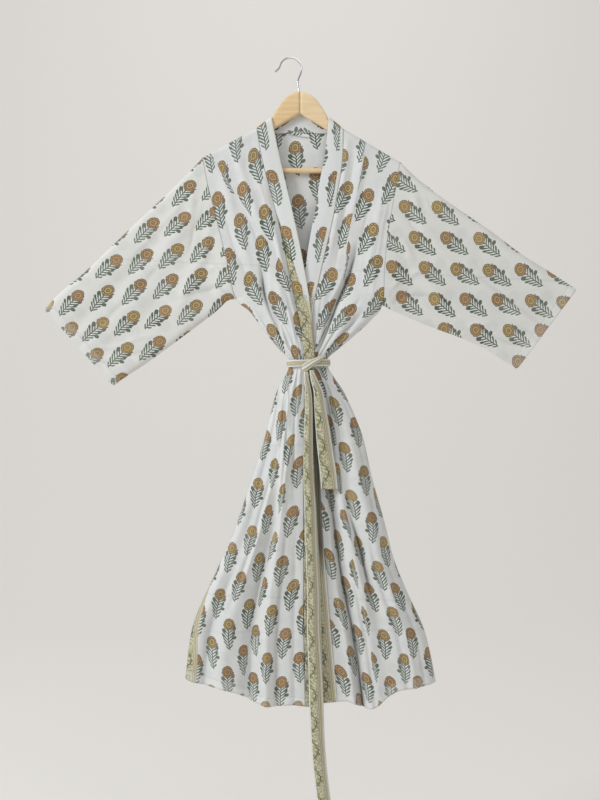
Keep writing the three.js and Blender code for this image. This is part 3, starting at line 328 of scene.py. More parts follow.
# %% Front creases
RIGHT_CREASES = [
    (0.4, 0.8, 2.6, 0.86, 5, 0.9, 7, 1.6),
    (1.2, 0.12, 3.2, 0.16, 5.4, 0.34, 8, -1.6),
    (2.2, 0.5, 4.5, 0.62, 7.6, 0.58, 8, -1.8),
    (4.2, 0.55, 6.8, 0.37, 8.9, 0.18, 6.5, -6),
    (4.6, 0.64, 6.9, 0.46, 8.9, 0.27, 8, 3.6),
    (3, 0.9, 5.5, 0.92, 8.8, 0.9, 7, 2.2),
    (5.4, 0.78, 7.2, 0.7, 8.9, 0.56, 7, -3.2),
    (5.8, 0.14, 7.2, 0.1, 8.9, 0.06, 6, -2.4),
    (6.6, 0.56, 7.8, 0.48, 8.9, 0.42, 5, -3),
    (10.1, 0.06, 11.7, 0.31, 13.4, 0.46, 7.5, -8),
    (10.3, 0.15, 12.4, 0.49, 14.9, 0.6, 10, 6),
    (10.2, 0.62, 12, 0.72, 14.2, 0.8, 8, -2.8),
    (13, 0.45, 14.7, 0.37, 16.8, 0.34, 9, 4.4),
    (13.2, 0.39, 14.8, 0.3, 17.4, 0.28, 10, -4),
    (13, 0.63, 15, 0.64, 19, 0.67, 10, 4.6),
    (14, 0.72, 16.5, 0.75, 19, 0.76, 12, -3.6),
    (15.4, 0.5, 17, 0.52, 19, 0.53, 11, -3.4),
    (11, 0.1, 13, 0.16, 15.5, 0.18, 10, -2.4),
    (15, 0.88, 17, 0.9, 19, 0.9, 9, -2.6),
    (14.5, 0.06, 17, 0.08, 19, 0.07, 9, 2),
    (15.8, 0.2, 17.4, 0.17, 19, 0.16, 9, -2.6),
]
LEFT_CREASES = [
    (0.5, 0.8, 2.4, 0.82, 4.8, 0.8, 7, -1.8),
    (1.5, 0.4, 3.4, 0.44, 5.2, 0.5, 9, -1.6),
    (1.2, 0.1, 3, 0.12, 5.2, 0.2, 9, 1.6),
    (3.4, 0.5, 5.6, 0.63, 8.7, 0.64, 6.5, -5.5),
    (3.8, 0.62, 6, 0.74, 8.8, 0.74, 7, 3),
    (5, 0.34, 6.8, 0.45, 8.8, 0.5, 7, -3.4),
    (5.2, 0.9, 7, 0.88, 8.9, 0.84, 7, -3),
    (6, 0.2, 7.4, 0.28, 8.8, 0.34, 6, -3),
    (6.8, 0.1, 7.9, 0.14, 8.8, 0.18, 6, 2),
    (10.2, 0.5, 12, 0.62, 13.6, 0.7, 9, -3),
    (12.2, 0.7, 13.2, 0.74, 14.4, 0.77, 9, -6),
    (10.3, 0.3, 12, 0.42, 14, 0.5, 9, 2.6),
    (13.8, 0.82, 15.6, 0.79, 19, 0.74, 5.5, -9),
    (13.8, 0.9, 16, 0.87, 19, 0.83, 9, 4),
    (14.4, 0.54, 15.8, 0.45, 17.2, 0.46, 6, -6),
    (14.4, 0.62, 16, 0.53, 17.6, 0.54, 9, 3),
    (11.5, 0.14, 13.5, 0.12, 15.5, 0.14, 9, -2.4),
    (16.2, 0.64, 17.6, 0.64, 19, 0.63, 10, -3.4),
    (15, 0.12, 17, 0.11, 19, 0.12, 10, -2.6),
    (15, 0.3, 17, 0.31, 19, 0.31, 12, -3.4),
    (16, 0.2, 17.5, 0.21, 19, 0.21, 9, 2.4),
]

# %% [markdown]
# ## From a table to a sheet
# A sheet of cloth starts as a flat grid from Blender's grid operator. Each of its vertices then
# moves to the place that the cut and the folds give it. The print has to follow the cloth and not
# the air around it, so the sheet's UV map holds the distance along the cloth, in metres: across in
# U and down the cloth in V. A second map holds the distance to the nearest hem or seam, for the
# stitches, and a third one on the panels holds painted shade, darker the deeper a point lies in a
# fold or crease, and its distance from the side. The Solidify modifier then gives the cloth its
# thickness.

# %% Sheet helpers
CLOTH = 0.7
FAR = 500
# Painted shade in the troughs of folds and creases: its strength in the large folds, and the depths where
# it is full.
PAINTED_FOLD_SHADE = 0.16
FOLD_SHADE_FULL_DEPTH = 7
CREASE_SHADE_FULL_DEPTH = 5.6


def link_piece(name, mesh_data):
    piece = bpy.data.objects.new(name, mesh_data)
    bpy.context.collection.objects.link(piece)
    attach(piece, "root")
    return piece


def cloth_length(points, axis):
    """Distance along the cloth from its first row or column."""
    steps = np.linalg.norm(np.diff(points, axis=axis), axis=2)
    first = np.zeros_like(np.take(steps, [0], axis=axis))
    return np.concatenate([first, np.cumsum(steps, axis=axis)], axis=axis)


def make_sheet(name, points, maps, closed=False, turn=False, thick=CLOTH):
    """A sheet through a grid of points (rows, columns, 3) in mm, with its UV maps, also in mm."""
    rows, columns = points.shape[:2]
    shaper = bmesh.new()
    made = bmesh.ops.create_grid(
        shaper, x_segments=columns - 1, y_segments=rows - 1, size=1, calc_uvs=False
    )
    corners = sorted(made["verts"], key=lambda vert: (round(-vert.co.y, 6), round(vert.co.x, 6)))
    for index, vert in enumerate(corners):
        vert.index = index
    for map_name, values in maps.items():
        layer = shaper.loops.layers.uv.new(map_name)
        flat_values = values.reshape(-1, 2) * MM
        for face in shaper.faces:
            for loop in face.loops:
                loop[layer].uv = flat_values[loop.vert.index]
    flat_points = points.reshape(-1, 3) * MM
    for vert in corners:
        vert.co = flat_points[vert.index]
    if closed:
        bmesh.ops.remove_doubles(shaper, verts=shaper.verts, dist=1e-6)
    if turn:
        bmesh.ops.reverse_faces(shaper, faces=shaper.faces)
    for face in shaper.faces:
        face.smooth = True
    mesh_data = bpy.data.meshes.new(name)
    shaper.to_mesh(mesh_data)
    shaper.free()
    piece = link_piece(name, mesh_data)
    wall = piece.modifiers.new("cloth", "SOLIDIFY")
    wall.thickness = thick * MM
    wall.offset = -1
    wall.use_even_offset = False
    print(f"{name}: {rows} x {columns} points")
    return piece


def paired(first, second):
    """Two values at every point, as a UV map takes them."""
    return np.stack([first, second], axis=-1)


def painted_fold_shade_map(folds, creases, row, at, width):
    """Painted shade at each point, darker in the troughs of folds and creases, and how far it is from the
    side in mm.
    """
    large = fold_depth(folds, row, at, width) + gather_depth(row, at, width, PANEL_WAVES)
    fine = crease_depth(creases, row, at, width)
    # Painted shade, darker where the folds and creases form troughs.
    fold_shade_part = PAINTED_FOLD_SHADE * np.clip(-large / FOLD_SHADE_FULL_DEPTH, 0, 1)
    crease_shade_part = np.clip(-fine / CREASE_SHADE_FULL_DEPTH, 0, 1) ** 2
    return paired((fold_shade_part + crease_shade_part) / MM, at * width)


def flat_distance(points):
    """The points without their depth, for lengths that the folds don't change."""
    flat = points.copy()
    flat[..., 1] = 0
    return flat


# %% [markdown]
# ## The fronts
# A front turns over the hanger with a small radius at its top, and rounds into the side seam with a
# larger one. Between them it keeps a depth of its own, to which the folds are added. The right
# front laps over the left one. Rows and columns are closest where the cloth turns.

# %% Front surface
LAP_OVER = 2
LAP_UNDER = -5
LAP_FROM_ROW = 2.6
LAP_TO_ROW = 4.2
LAP_SHARE = 0.8
CALM_TOP = 30
CALM_SIDE = 12
LONG_WAVES = 0.55
SHORT_WAVES = 0.18
HEM_SAG_FROM = 15.5
RIGHT_HEM = (0.66, 0.2, 16)
LEFT_HEM = (0.67, 0.17, 30)
BACK_HEM_SAG = 34
Front = namedtuple("Front", "table folds creases lap hem_at hem_spread hem_sag")
FRONTS = {
    "right": Front(RIGHT_FRONT, RIGHT_FOLDS, RIGHT_CREASES, LAP_OVER, *RIGHT_HEM),
    "left": Front(LEFT_FRONT, LEFT_FOLDS, LEFT_CREASES, LAP_UNDER, *LEFT_HEM),
}


def hem_share(row):
    return smooth((row - HEM_SAG_FROM) / (HEM_ROW - HEM_SAG_FROM))


def above_armpit(table, row):
    height = column_at(table["side_z"], row) - table["side_z"][ARMPIT_ROW]
    return np.where(row >= ARMPIT_ROW, 0, height)


def front_line(front, row, at):
    """x and z of a front's points, with the hem's sag."""
    table = front.table
    low = hem_share(row)
    away = (at - front.hem_at) / front.hem_spread
    sag = front.hem_sag * low * low * np.exp(-away * away)
    x = blend(column_at(table["side_x"], row), column_at(table["seam_x"], row), at)
    z = blend(column_at(table["side_z"], row), column_at(table["seam_z"], row), at) - sag
    return x, z


def front_lap(front, row):
    """How far a front lies before or behind the other one near the neckband."""
    return front.lap * smooth((row - LAP_FROM_ROW) / (LAP_TO_ROW - LAP_FROM_ROW))


def front_width(front, row):
    table = front.table
    over = column_at(table["seam_x"], row) - column_at(table["side_x"], row)
    up = column_at(table["seam_z"], row) - column_at(table["side_z"], row)
    return np.hypot(over, up)


def front_points(front, row, at):
    """Outer surface of a front, in mm, for arrays of rows and places across."""
    x, z = front_line(front, row, at)
    top_x, top_z = front_line(front, 0 * row, at)
    from_top = np.hypot(x - top_x, z - top_z)
    width = front_width(front, row)
    inward = at * width + above_armpit(front.table, row)
    turn = arc(inward / SIDE_ROUND) * arc(from_top / SHOULDER_ROUND)
    lapped = front_lap(front, row) * smooth(at / LAP_SHARE)
    folded = fold_depth(front.folds, row, at, width) + gather_depth(row, at, width, PANEL_WAVES)
    folded = folded + fine_depth(front.creases, row, at, width, x, z)
    calm = smooth(from_top / CALM_TOP) * smooth(at * width / CALM_SIDE)
    depth = (column_at(BODY_DEPTH["front"], row) + lapped + folded * calm) * turn
    return np.stack([x, -depth - SEAM / 2, z], axis=-1)


def fine_depth(creases, row, at, width, x, z):
    """Fine creases, and the small unevenness that every washed cloth keeps."""
    long_waves = np.sin(x / 17 + 1.7 * np.sin(z / 61)) * np.sin(z / 83 + 0.8)
    short_waves = np.sin(x / 7.3 + 2.1 * np.sin(z / 37 + 1)) * np.sin(z / 29 + x / 53)
    waves = LONG_WAVES * long_waves + SHORT_WAVES * short_waves
    return crease_depth(creases, row, at, width) + waves


# %% [markdown]
# Straight cloth needs few points and a turned edge needs many. So the rows stand close together
# at the shoulder and under the arm, and the columns near the side.

# %% Rows and columns of the panels
ROW_HEIGHT = 60
TURNS = np.radians(np.linspace(0, 90, 9))
SHOULDER_ROWS = (1 - np.cos(TURNS)) * SHOULDER_ROUND / ROW_HEIGHT
ARMPIT_ROWS = ARMPIT_ROW - (1 - np.cos(TURNS))[::-1] * SIDE_ROUND / ROW_HEIGHT
UPPER_ROWS = np.concatenate([SHOULDER_ROWS[:-1], np.linspace(SHOULDER_ROWS[-1], ARMPIT_ROWS[0], 70)])
ARMHOLE_ROWS = np.concatenate([UPPER_ROWS[:-1], ARMPIT_ROWS])
BODY_ROWS = np.concatenate([np.linspace(ARMPIT_ROW, 12, 90)[1:], np.linspace(12, HEM_ROW, 100)[1:]])
PANEL_ROWS = np.concatenate([ARMHOLE_ROWS, BODY_ROWS])
FRONT_ATS = np.linspace(0, 1, 81) ** 1.35
print("rows", len(PANEL_ROWS), "columns", len(FRONT_ATS))

# %% [markdown]
# The cloth was printed before it was cut, and each panel was laid on it a little differently. So
# every panel states where its print lies: how much wider and longer than the repeat it shows, how
# it slants and turns, and how far it is shifted. A tuck is a fold so deep that some of the print
# is hidden in it.

# %% Where the print lies
# Each print: middle, wider, slant, shift across, longer, turn, shift down.
BODICE_PRINT = {
    "right": (203, 1.063, 0.056, 0, 0.852, -0.095, 11.6),
    "left": (208, 1.115, -0.298, 81, 0.843, -0.103, 12.5),
}
SKIRT_PRINT = {
    "right": (1078, 1.15, -0.014, 70.5, 1.034, -0.136, 40.5),
    "left": (1078, 1.15, 0.014, 20, 1.034, 0.12, 30),
}
BACK_PRINT = (30.3, 1, 0, 29, 0.895, 0, 34)
# Each tuck: the print's middle, its place from there, its lean, and the width that it hides.
BODICE_TUCKS = {"right": [(203, 21, 0.342, 18.2)], "left": [(208, 22.7, 0.036, 28.8)]}
SKIRT_TUCKS = {
    "right": [(1078, 22.2, 0.102, 5.7), (1078, 5.1, -0.062, 12.3)],
    "left": [(1078, 20, 0.03, 16), (1078, -60, 0, 12)],
}
TUCK_WIDTH = 5
WAIST_FROM = 9.2
WAIST_TO = 9.8
GATHERED_ROWS = 4
GATHERED_SHARE = 0.3


def spread_out(from_middle, row):
    """Places across the cloth, further apart where the sash has gathered it."""
    gathered = 1 - smooth(np.abs(row - GATHER_ROW) / GATHERED_ROWS)
    return from_middle * (1 + GATHERED_SHARE * gathered)


def lay_print(u, v, print_row, tucks=()):
    """Where points of the cloth fall on the printed cloth, across and down."""
    middle, wider, slant, shift_across, longer, turn, shift_down = print_row
    for tuck_middle, from_side, lean, hidden in tucks:
        line = from_side + lean * (v - tuck_middle)
        u = u + hidden * smooth((u - line) / TUCK_WIDTH + 0.5)
    across = wider * u + slant * (v - middle) + shift_across
    down = longer * (v - middle) + turn * u + shift_down
    return paired(across, down)


# %% Build the fronts


def front_print(points, side, row, at):
    """Print map of a front, from lengths along the cloth: one for the bodice, one for the skirt."""
    across = cloth_length(points, 1)
    middle = across[:, [np.searchsorted(at[0], 0.5)]]
    u = spread_out(across - middle, row)
    v = cloth_length(flat_distance(points), 0)
    bodice = lay_print(u, v, BODICE_PRINT[side], BODICE_TUCKS[side])
    skirt = lay_print(u, v, SKIRT_PRINT[side], SKIRT_TUCKS[side])
    below = smooth((row - WAIST_FROM) / (WAIST_TO - WAIST_FROM))
    return blend(bodice, skirt, below[..., None])


def edge_map(points, at, width):
    """Distance to the hem in U and to the nearest side or seam in V, in mm."""
    down = cloth_length(flat_distance(points), 0)
    return paired(down[-1:] - down, np.minimum(at, 1 - at) * width)


def make_front(name, side):
    front = FRONTS[side]
    row, at = np.meshgrid(PANEL_ROWS, FRONT_ATS, indexing="ij")
    points = front_points(front, row, at)
    width = front_width(front, row)
    maps = {
        "print": front_print(points, side, row, at),
        "edge": edge_map(points, at, width),
        "fold": painted_fold_shade_map(front.folds, front.creases, row, at, width),
    }
    piece = make_sheet(name, points, maps, turn=side == "left")
    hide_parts("front_" + side)
    return piece


front_right = make_front("right_front", "right")
front_left = make_front("left_front", "left")

# %% [markdown]
# ## The back
# The back is one sheet from shoulder to shoulder. Its top edge is straight over the shoulders and
# dips behind the neck, where the cloth has already turned down behind the hanger. So each column
# starts at its own place and has its own share of that turn.

# %% Back neck
NECK_NAMES = ("x", "z", "turn", "edge_x", "edge_z")
NECK_HALF = [
    (-72, -149, 0, -42, -126),
    (-68, -151, 45, -43, -128.5),
    (-61, -156.5, 90, -40, -129.5),
    (-38, -159, 90, -26, -122),
    (-9, -158.5, 90, -4, -115),
    (20.5, -158, 90, 20.5, -113),
]
LEFT_NECK_DROP = 2


def mirrored_station(x, z, turn, edge_x, edge_z):
    drop = LEFT_NECK_DROP * (1 - turn / 90) if turn < 90 else 0
    return (2 * CENTRE_X - x, z - drop, turn, 2 * CENTRE_X - edge_x, edge_z)


NECK = columns_of(NECK_NAMES, NECK_HALF + [mirrored_station(*line) for line in NECK_HALF[-2::-1]])
NECK_STEPS = np.concatenate([
    np.linspace(0, 2, 9)[:-1], np.linspace(2, 8, 43), np.linspace(8, 10, 9)[1:],
])
NECK_FINE = {name: np.interp(NECK_STEPS, np.arange(11), NECK[name]) for name in NECK_NAMES}
for name in ("x", "z", "edge_x", "edge_z"):
    curved = column_at(NECK[name], NECK_STEPS)
    NECK_FINE[name] = np.where((NECK_STEPS > 2) & (NECK_STEPS < 8), curved, NECK_FINE[name])
print("neck stations", len(NECK_STEPS))

# %% [markdown]
# The back is tied to the fronts at the shoulders and the sides, so it takes its edges from the
# same tables. Between them it has folds and creases of its own.

# %% Back surface
BACK_CREASES = [
    (0.8, 0.14, 3, 0.18, 5.2, 0.24, 12, 1.8),
    (0.8, 0.86, 3, 0.83, 5.2, 0.78, 12, 1.8),
    (1.4, 0.42, 4, 0.43, 7, 0.42, 12, -2),
    (1.8, 0.6, 4.4, 0.61, 7.4, 0.6, 12, -1.8),
    (5, 0.1, 7, 0.12, 8.9, 0.12, 10, 1.8),
    (5, 0.9, 7, 0.9, 8.9, 0.9, 10, 1.8),
    (10.3, 0.24, 12.5, 0.24, 16, 0.22, 14, 2.2),
    (10.5, 0.52, 13, 0.52, 17, 0.5, 14, -2.2),
    (10.4, 0.66, 13, 0.665, 16.4, 0.66, 14, 2),
    (12, 0.08, 15, 0.08, 19, 0.07, 14, -2.4),
    (12, 0.93, 15, 0.93, 19, 0.94, 14, -2.2),
    (13.6, 0.36, 16, 0.35, 19, 0.34, 16, 2.6),
    (13.2, 0.79, 16, 0.79, 19, 0.79, 14, -2.6),
]
BACK_CALM_TOP = 40
BACK_CALM_SIDE = 14
SHOULDER_SHARES = (np.linspace(0, 1, 49) ** 1.35)[:-1]
TOP_RIGHT = (RIGHT_FRONT["side_x"][0], RIGHT_FRONT["side_z"][0])
TOP_LEFT = (LEFT_FRONT["side_x"][0], LEFT_FRONT["side_z"][0])
RIGHT_NECK = (NECK["x"][0], NECK["z"][0])
LEFT_NECK = (NECK["x"][-1], NECK["z"][-1])


def back_columns():
    """x, z and turn of the top of every column."""
    right_x = blend(TOP_RIGHT[0], RIGHT_NECK[0], SHOULDER_SHARES)
    right_z = blend(TOP_RIGHT[1], RIGHT_NECK[1], SHOULDER_SHARES)
    left_x = blend(TOP_LEFT[0], LEFT_NECK[0], SHOULDER_SHARES)[::-1]
    left_z = blend(TOP_LEFT[1], LEFT_NECK[1], SHOULDER_SHARES)[::-1]
    x = np.concatenate([right_x, NECK_FINE["x"], left_x])
    z = np.concatenate([right_z, NECK_FINE["z"], left_z])
    turn = np.concatenate([0 * right_x, NECK_FINE["turn"], 0 * left_x])
    return x, z, turn


def side_line(table, row):
    return column_at(table["side_x"], row), column_at(table["side_z"], row)


def back_points(row):
    """Outer surface of the back in mm, with each point's place across and the panel's width."""
    top_x, top_z, top_turn = (values[None, :] for values in back_columns())
    right_x, right_z = side_line(RIGHT_FRONT, row)
    left_x, left_z = side_line(LEFT_FRONT, row)
    at = (top_x - TOP_RIGHT[0]) / (TOP_LEFT[0] - TOP_RIGHT[0]) + 0 * row
    rise = top_z - blend(TOP_RIGHT[1], TOP_LEFT[1], at)
    width = left_x - right_x
    x = blend(right_x, left_x, at)
    z = blend(right_z, left_z, at) + rise * np.clip(1 - row / ARMPIT_ROW, 0, 1)
    z = z - BACK_HEM_SAG * hem_share(row) * np.sin(np.pi * at)
    started = SHOULDER_ROUND * (1 - np.cos(np.radians(top_turn)))
    from_top = started + np.hypot(x - top_x, z - top_z)
    nearest = np.minimum(
        at * width + above_armpit(RIGHT_FRONT, row), (1 - at) * width + above_armpit(LEFT_FRONT, row)
    )
    turn = arc(nearest / SIDE_ROUND) * arc(from_top / SHOULDER_ROUND)
    folded = fold_depth(BACK_FOLDS, row, at, width) + gather_depth(row, at, width, BACK_WAVES)
    folded = folded + fine_depth(BACK_CREASES, row, at, width, x, z)
    calm = smooth(from_top / BACK_CALM_TOP) * smooth(nearest / BACK_CALM_SIDE)
    depth = (column_at(BODY_DEPTH["back"], row) + folded * calm) * turn
    return np.stack([x, depth + SEAM / 2, z], axis=-1), at, width


# %% Build the back


def make_back():
    row = PANEL_ROWS[:, None]
    points, at, width = back_points(row)
    row_grid = row + 0 * at
    across = cloth_length(points, 1)
    middle = across[:, [across.shape[1] // 2]]
    u = spread_out(across - middle, row_grid)
    v = cloth_length(flat_distance(points), 0)
    maps = {
        "print": lay_print(u, v, BACK_PRINT),
        "edge": edge_map(points, at, width),
        "fold": painted_fold_shade_map(BACK_FOLDS, BACK_CREASES, row_grid, at, width),
    }
    piece = make_sheet("back_panel", points, maps, turn=True)
    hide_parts("back")
    return piece


back_panel = make_back()

# %% [markdown]
# ## The sleeves
# Each sleeve is a flat tube: a front and a back that meet in a fold along the top and in a seam
# underneath. Its ring of points starts at the top fold, goes down the front and comes up the back.
# At the armhole it has the body's own roundness, and further out it lies flatter.

# %% Sleeve tables
SLEEVE_NAMES = ("top_x", "top_z", "under_x", "under_z")
RIGHT_SLEEVE_ROWS = [
    (-188, -213, -117, -517),
    (-214, -241, -134, -520),
    (-240, -266, -150, -534),
    (-266, -292, -169, -551),
    (-324, -346, -210, -582),
    (-382, -401, -257, -617),
    (-440, -457, -311, -656),
    (-496, -504, -358, -687),
    (-528, -539, -380, -703),
]
LEFT_SLEEVE_ROWS = [
    (235, -223, 197, -530),
    (270, -256, 218, -541),
    (294, -275, 241, -551),
    (317, -293, 263, -561),
    (373, -332, 315, -582),
    (433, -373, 367, -601),
    (493, -418, 416, -623),
    (558, -459, 459, -650),
    (614, -496, 486, -667),
]
RIGHT_SLEEVE = columns_of(SLEEVE_NAMES, RIGHT_SLEEVE_ROWS)
LEFT_SLEEVE = columns_of(SLEEVE_NAMES, LEFT_SLEEVE_ROWS)
SLEEVE_DEPTH = 9
SLEEVE_ROUND = 14
SLEEVE_BLEND = 2.5
SLEEVE_CALM = 30
ARMPIT_EASE = 0.25
ARMPIT_EASE_ROW = 4.3
SLEEVES = {"right": (RIGHT_SLEEVE, RIGHT_FRONT), "left": (LEFT_SLEEVE, LEFT_FRONT)}
# Each print: angle, wider, shift across, longer, shift down.
SLEEVE_PRINT = {"right": (44.3, 1.106, 50.5, 0.936, 24.5), "left": (143.5, 1.05, 14, 0.936, 40)}
SLEEVE_CREASES = [
    (0.2, 0.9, 1.6, 0.72, 3.4, 0.6, 10, 2.8),
    (0.4, 0.98, 2.2, 0.84, 4.2, 0.74, 9, -2.6),
    (0.4, 0.3, 1.6, 0.36, 3.4, 0.5, 9, -2),
    (1.5, 0.1, 3, 0.16, 5, 0.2, 10, 1.8),
    (3.6, 0.4, 5, 0.44, 8, 0.5, 11, -2.2),
    (4.6, 0.94, 6, 0.76, 7.6, 0.6, 9, 2.6),
    (5, 0.98, 6.6, 0.84, 8, 0.72, 9, -2.2),
]


def sleeve_direction(body):
    """Unit vector, in x and z, that points from the body into the sleeve."""
    over = body["side_x"][ARMPIT_ROW] - body["side_x"][0]
    up = body["side_z"][ARMPIT_ROW] - body["side_z"][0]
    length = math.hypot(over, up)
    outwards = 1 if body["side_x"][0] > CENTRE_X else -1
    return -up / length * outwards, over / length * outwards


print("the right sleeve points along", np.round(sleeve_direction(RIGHT_FRONT), 3))

# %% [markdown]
# A point of a sleeve is given by a section, from the armhole to the cuff, and by a row down that
# section. The first sections bend with the body's side, and the others are straight.

# %% Sleeve surface


def sleeve_points(table, body, section, row, face):
    """Outer surface of a sleeve in mm, and its width; face is -1 in front and 1 behind."""
    at = row / ARMPIT_ROW
    blended = smooth(section / SLEEVE_BLEND)
    top_x, top_z, under_x, under_z = (column_at(table[name], section) for name in SLEEVE_NAMES)
    width = np.hypot(under_x - top_x, under_z - top_z)
    bow = 1 - smooth(section)
    straight_x = blend(table["top_x"][0], table["under_x"][0], at)
    straight_z = blend(table["top_z"][0], table["under_z"][0], at)
    x = blend(top_x, under_x, at) + (column_at(body["side_x"], row) - straight_x) * bow
    z = blend(top_z, under_z, at) + (column_at(body["side_z"], row) - straight_z) * bow
    round_top = blend(SHOULDER_ROUND, SLEEVE_ROUND, blended)
    round_under = blend(SIDE_ROUND, SLEEVE_ROUND, blended)
    turn = arc(at * width / round_top) * arc((1 - at) * width / round_under)
    front_depth = column_at(BODY_DEPTH["front"], row)
    body_depth = np.where(face < 0, front_depth, column_at(BODY_DEPTH["back"], row))
    full = blend(body_depth, SLEEVE_DEPTH, blended)
    inside = smooth(at * width / SLEEVE_CALM) * smooth((1 - at) * width / SLEEVE_CALM)
    folded = fold_depth(SLEEVE_FOLDS, section, at, width)
    folded = folded + fine_depth(SLEEVE_CREASES, section, at, width, x + 40 * face, z)
    y = face * ((full + folded * inside * smooth(section)) * turn + SEAM / 2)
    return np.stack([x, y, z], axis=-1), width


SLEEVE_SECTIONS = np.concatenate([np.linspace(0, 1, 16)[:-1], np.linspace(1, 8, 90)])
MIDDLE_ROWS = np.linspace(ARMHOLE_ROWS[8], ARMHOLE_ROWS[-9], 56)
SLEEVE_ROWS = np.concatenate([ARMHOLE_ROWS[:8], MIDDLE_ROWS, ARMHOLE_ROWS[-8:]])


def sleeve_print(points, table, side, face):
    """The print on a sleeve lies straight along it, and runs on over its top fold to the back."""
    angle, wider, shift_across, longer, shift_down = SLEEVE_PRINT[side]
    cos = math.cos(math.radians(angle))
    sin = math.sin(math.radians(angle))
    from_top = sin * (points[..., 0] - table["top_x"][0]) - cos * (points[..., 2] - table["top_z"][0])
    top = sin * table["top_x"][0] - cos * table["top_z"][0]
    across = wider * (top - from_top * face) + shift_across
    down = -longer * (cos * points[..., 0] + sin * points[..., 2]) + shift_down
    return paired(across, down)


def make_sleeve(name, side):
    table, body = SLEEVES[side]
    ring = np.concatenate([SLEEVE_ROWS, SLEEVE_ROWS[::-1][1:]])
    ring_face = np.concatenate([-np.ones(len(SLEEVE_ROWS)), np.ones(len(SLEEVE_ROWS) - 1)])
    section, row = np.meshgrid(SLEEVE_SECTIONS, ring, indexing="ij")
    face = ring_face[None, :] + 0 * row
    points, width = sleeve_points(table, body, section, row, face)
    folds = [0, len(SLEEVE_ROWS) - 1, len(ring) - 1]
    points[:, folds, 1] = 0
    way_x, way_z = sleeve_direction(body)
    ease = np.where(section == 0, SEAM + ARMPIT_EASE * smooth((row - ARMPIT_EASE_ROW) / 0.6), 0)
    points[..., 0] += way_x * ease
    points[..., 2] += way_z * ease
    along = cloth_length(flat_distance(points), 0)
    at = row / ARMPIT_ROW
    maps = {
        "print": sleeve_print(points, table, side, face),
        "edge": paired(along[-1:] - along, along),
        "fold": painted_fold_shade_map(SLEEVE_FOLDS, SLEEVE_CREASES, section, at, width),
    }
    piece = make_sheet(name, points, maps, closed=True, turn=side == "left")
    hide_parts("sleeve_" + side)
    return piece


right_sleeve = make_sleeve("right_sleeve", "right")
left_sleeve = make_sleeve("left_sleeve", "left")

# %% [markdown]
# ## The neckband
# The neckband is one strip, folded double along its free edge: up the right front, round the back
# of the neck and down the left front. Its section is a hairpin. The outer layer runs from the seam
# to the fold, and the inner layer comes back to the seam.

# %% Neckband surface
BAND_PROUD = 0.3
BAND_ROLL = 1.2
BAND_ROLL_TOP = 40
BAND_HALF = 0.9
BAND_TURN = np.radians(np.linspace(-90, 90, 7))
BAND_SHARES = np.linspace(0, 1, 19)
FORWARD = np.array([[0, -1, 0]])


def band_way(table, row):
    over = column_at(table["edge_x"], row) - column_at(table["seam_x"], row)
    up = column_at(table["edge_z"], row) - column_at(table["seam_z"], row)
    length = np.hypot(over, up)
    return np.stack([over / length, 0 * over, up / length], axis=-1)


def front_band_lines(side, row):
    """Seam and free edge of the neckband down a front, and how much it rolls between them."""
    front = FRONTS[side]
    table = front.table
    seam = front_points(front, row, np.ones_like(row))
    top_x, top_z = front_line(front, 0 * row, np.ones_like(row))
    from_top = np.hypot(seam[..., 0] - top_x, seam[..., 2] - top_z)
    depth = column_at(BODY_DEPTH["front"], row) + front_lap(front, row)
    full = depth * arc(from_top / SHOULDER_ROUND) + BAND_PROUD
    edge = np.stack([column_at(table["edge_x"], row), -full, column_at(table["edge_z"], row)], axis=-1)
    seam[..., 1] -= BAND_PROUD - SEAM / 2
    seam += band_way(table, row) * SEAM / 2
    return seam, edge, BAND_ROLL * smooth(from_top / BAND_ROLL_TOP)


def neck_band_lines():
    """The same round the back of the neck."""
    turn = np.radians(NECK_FINE["turn"])
    out_y = (SHOULDER_ROUND + BAND_PROUD) * np.sin(turn)
    out_z = BAND_PROUD * np.cos(turn)
    seam = np.stack([NECK_FINE["x"], out_y, NECK_FINE["z"] + out_z], axis=-1)
    edge = np.stack([NECK_FINE["edge_x"], out_y, NECK_FINE["edge_z"] + out_z], axis=-1)
    way = edge - seam
    seam += way / np.linalg.norm(way, axis=-1, keepdims=True) * SEAM / 2
    return seam, edge, 0 * out_y


# %% Build the neckband


def outward_normals(seam, edge):
    """Unit normals of the band's outer face along its length."""
    along = np.gradient(seam + edge, axis=0)
    normal = np.cross(edge - seam, along)
    return normal / np.linalg.norm(normal, axis=-1, keepdims=True)


def band_section(seam, edge, roll):
    """The hairpin's lines along the band: outer layer, fold and inner layer, and their U values."""
    normal = outward_normals(seam, edge)
    width = np.linalg.norm(edge - seam, axis=-1, keepdims=True)
    way = (edge - seam) / width
    reach = way * (width - BAND_HALF)
    lifts = [(roll * np.sin(np.pi * share))[:, None] * FORWARD for share in BAND_SHARES]
    outer = [seam + reach * share + lift for share, lift in zip(BAND_SHARES, lifts)]
    inner = [line - 2 * BAND_HALF * normal for line in outer[::-1]]
    centre = seam + reach - normal * BAND_HALF
    turns = BAND_TURN[1:-1]
    fold = [centre + (way * math.cos(turn) - normal * math.sin(turn)) * BAND_HALF for turn in turns]
    shares = [*BAND_SHARES, *np.ones(len(turns)), *(2 - BAND_SHARES[::-1])]
    return np.stack(outer + fold + inner, axis=1), width * np.array(shares)[None, :], width


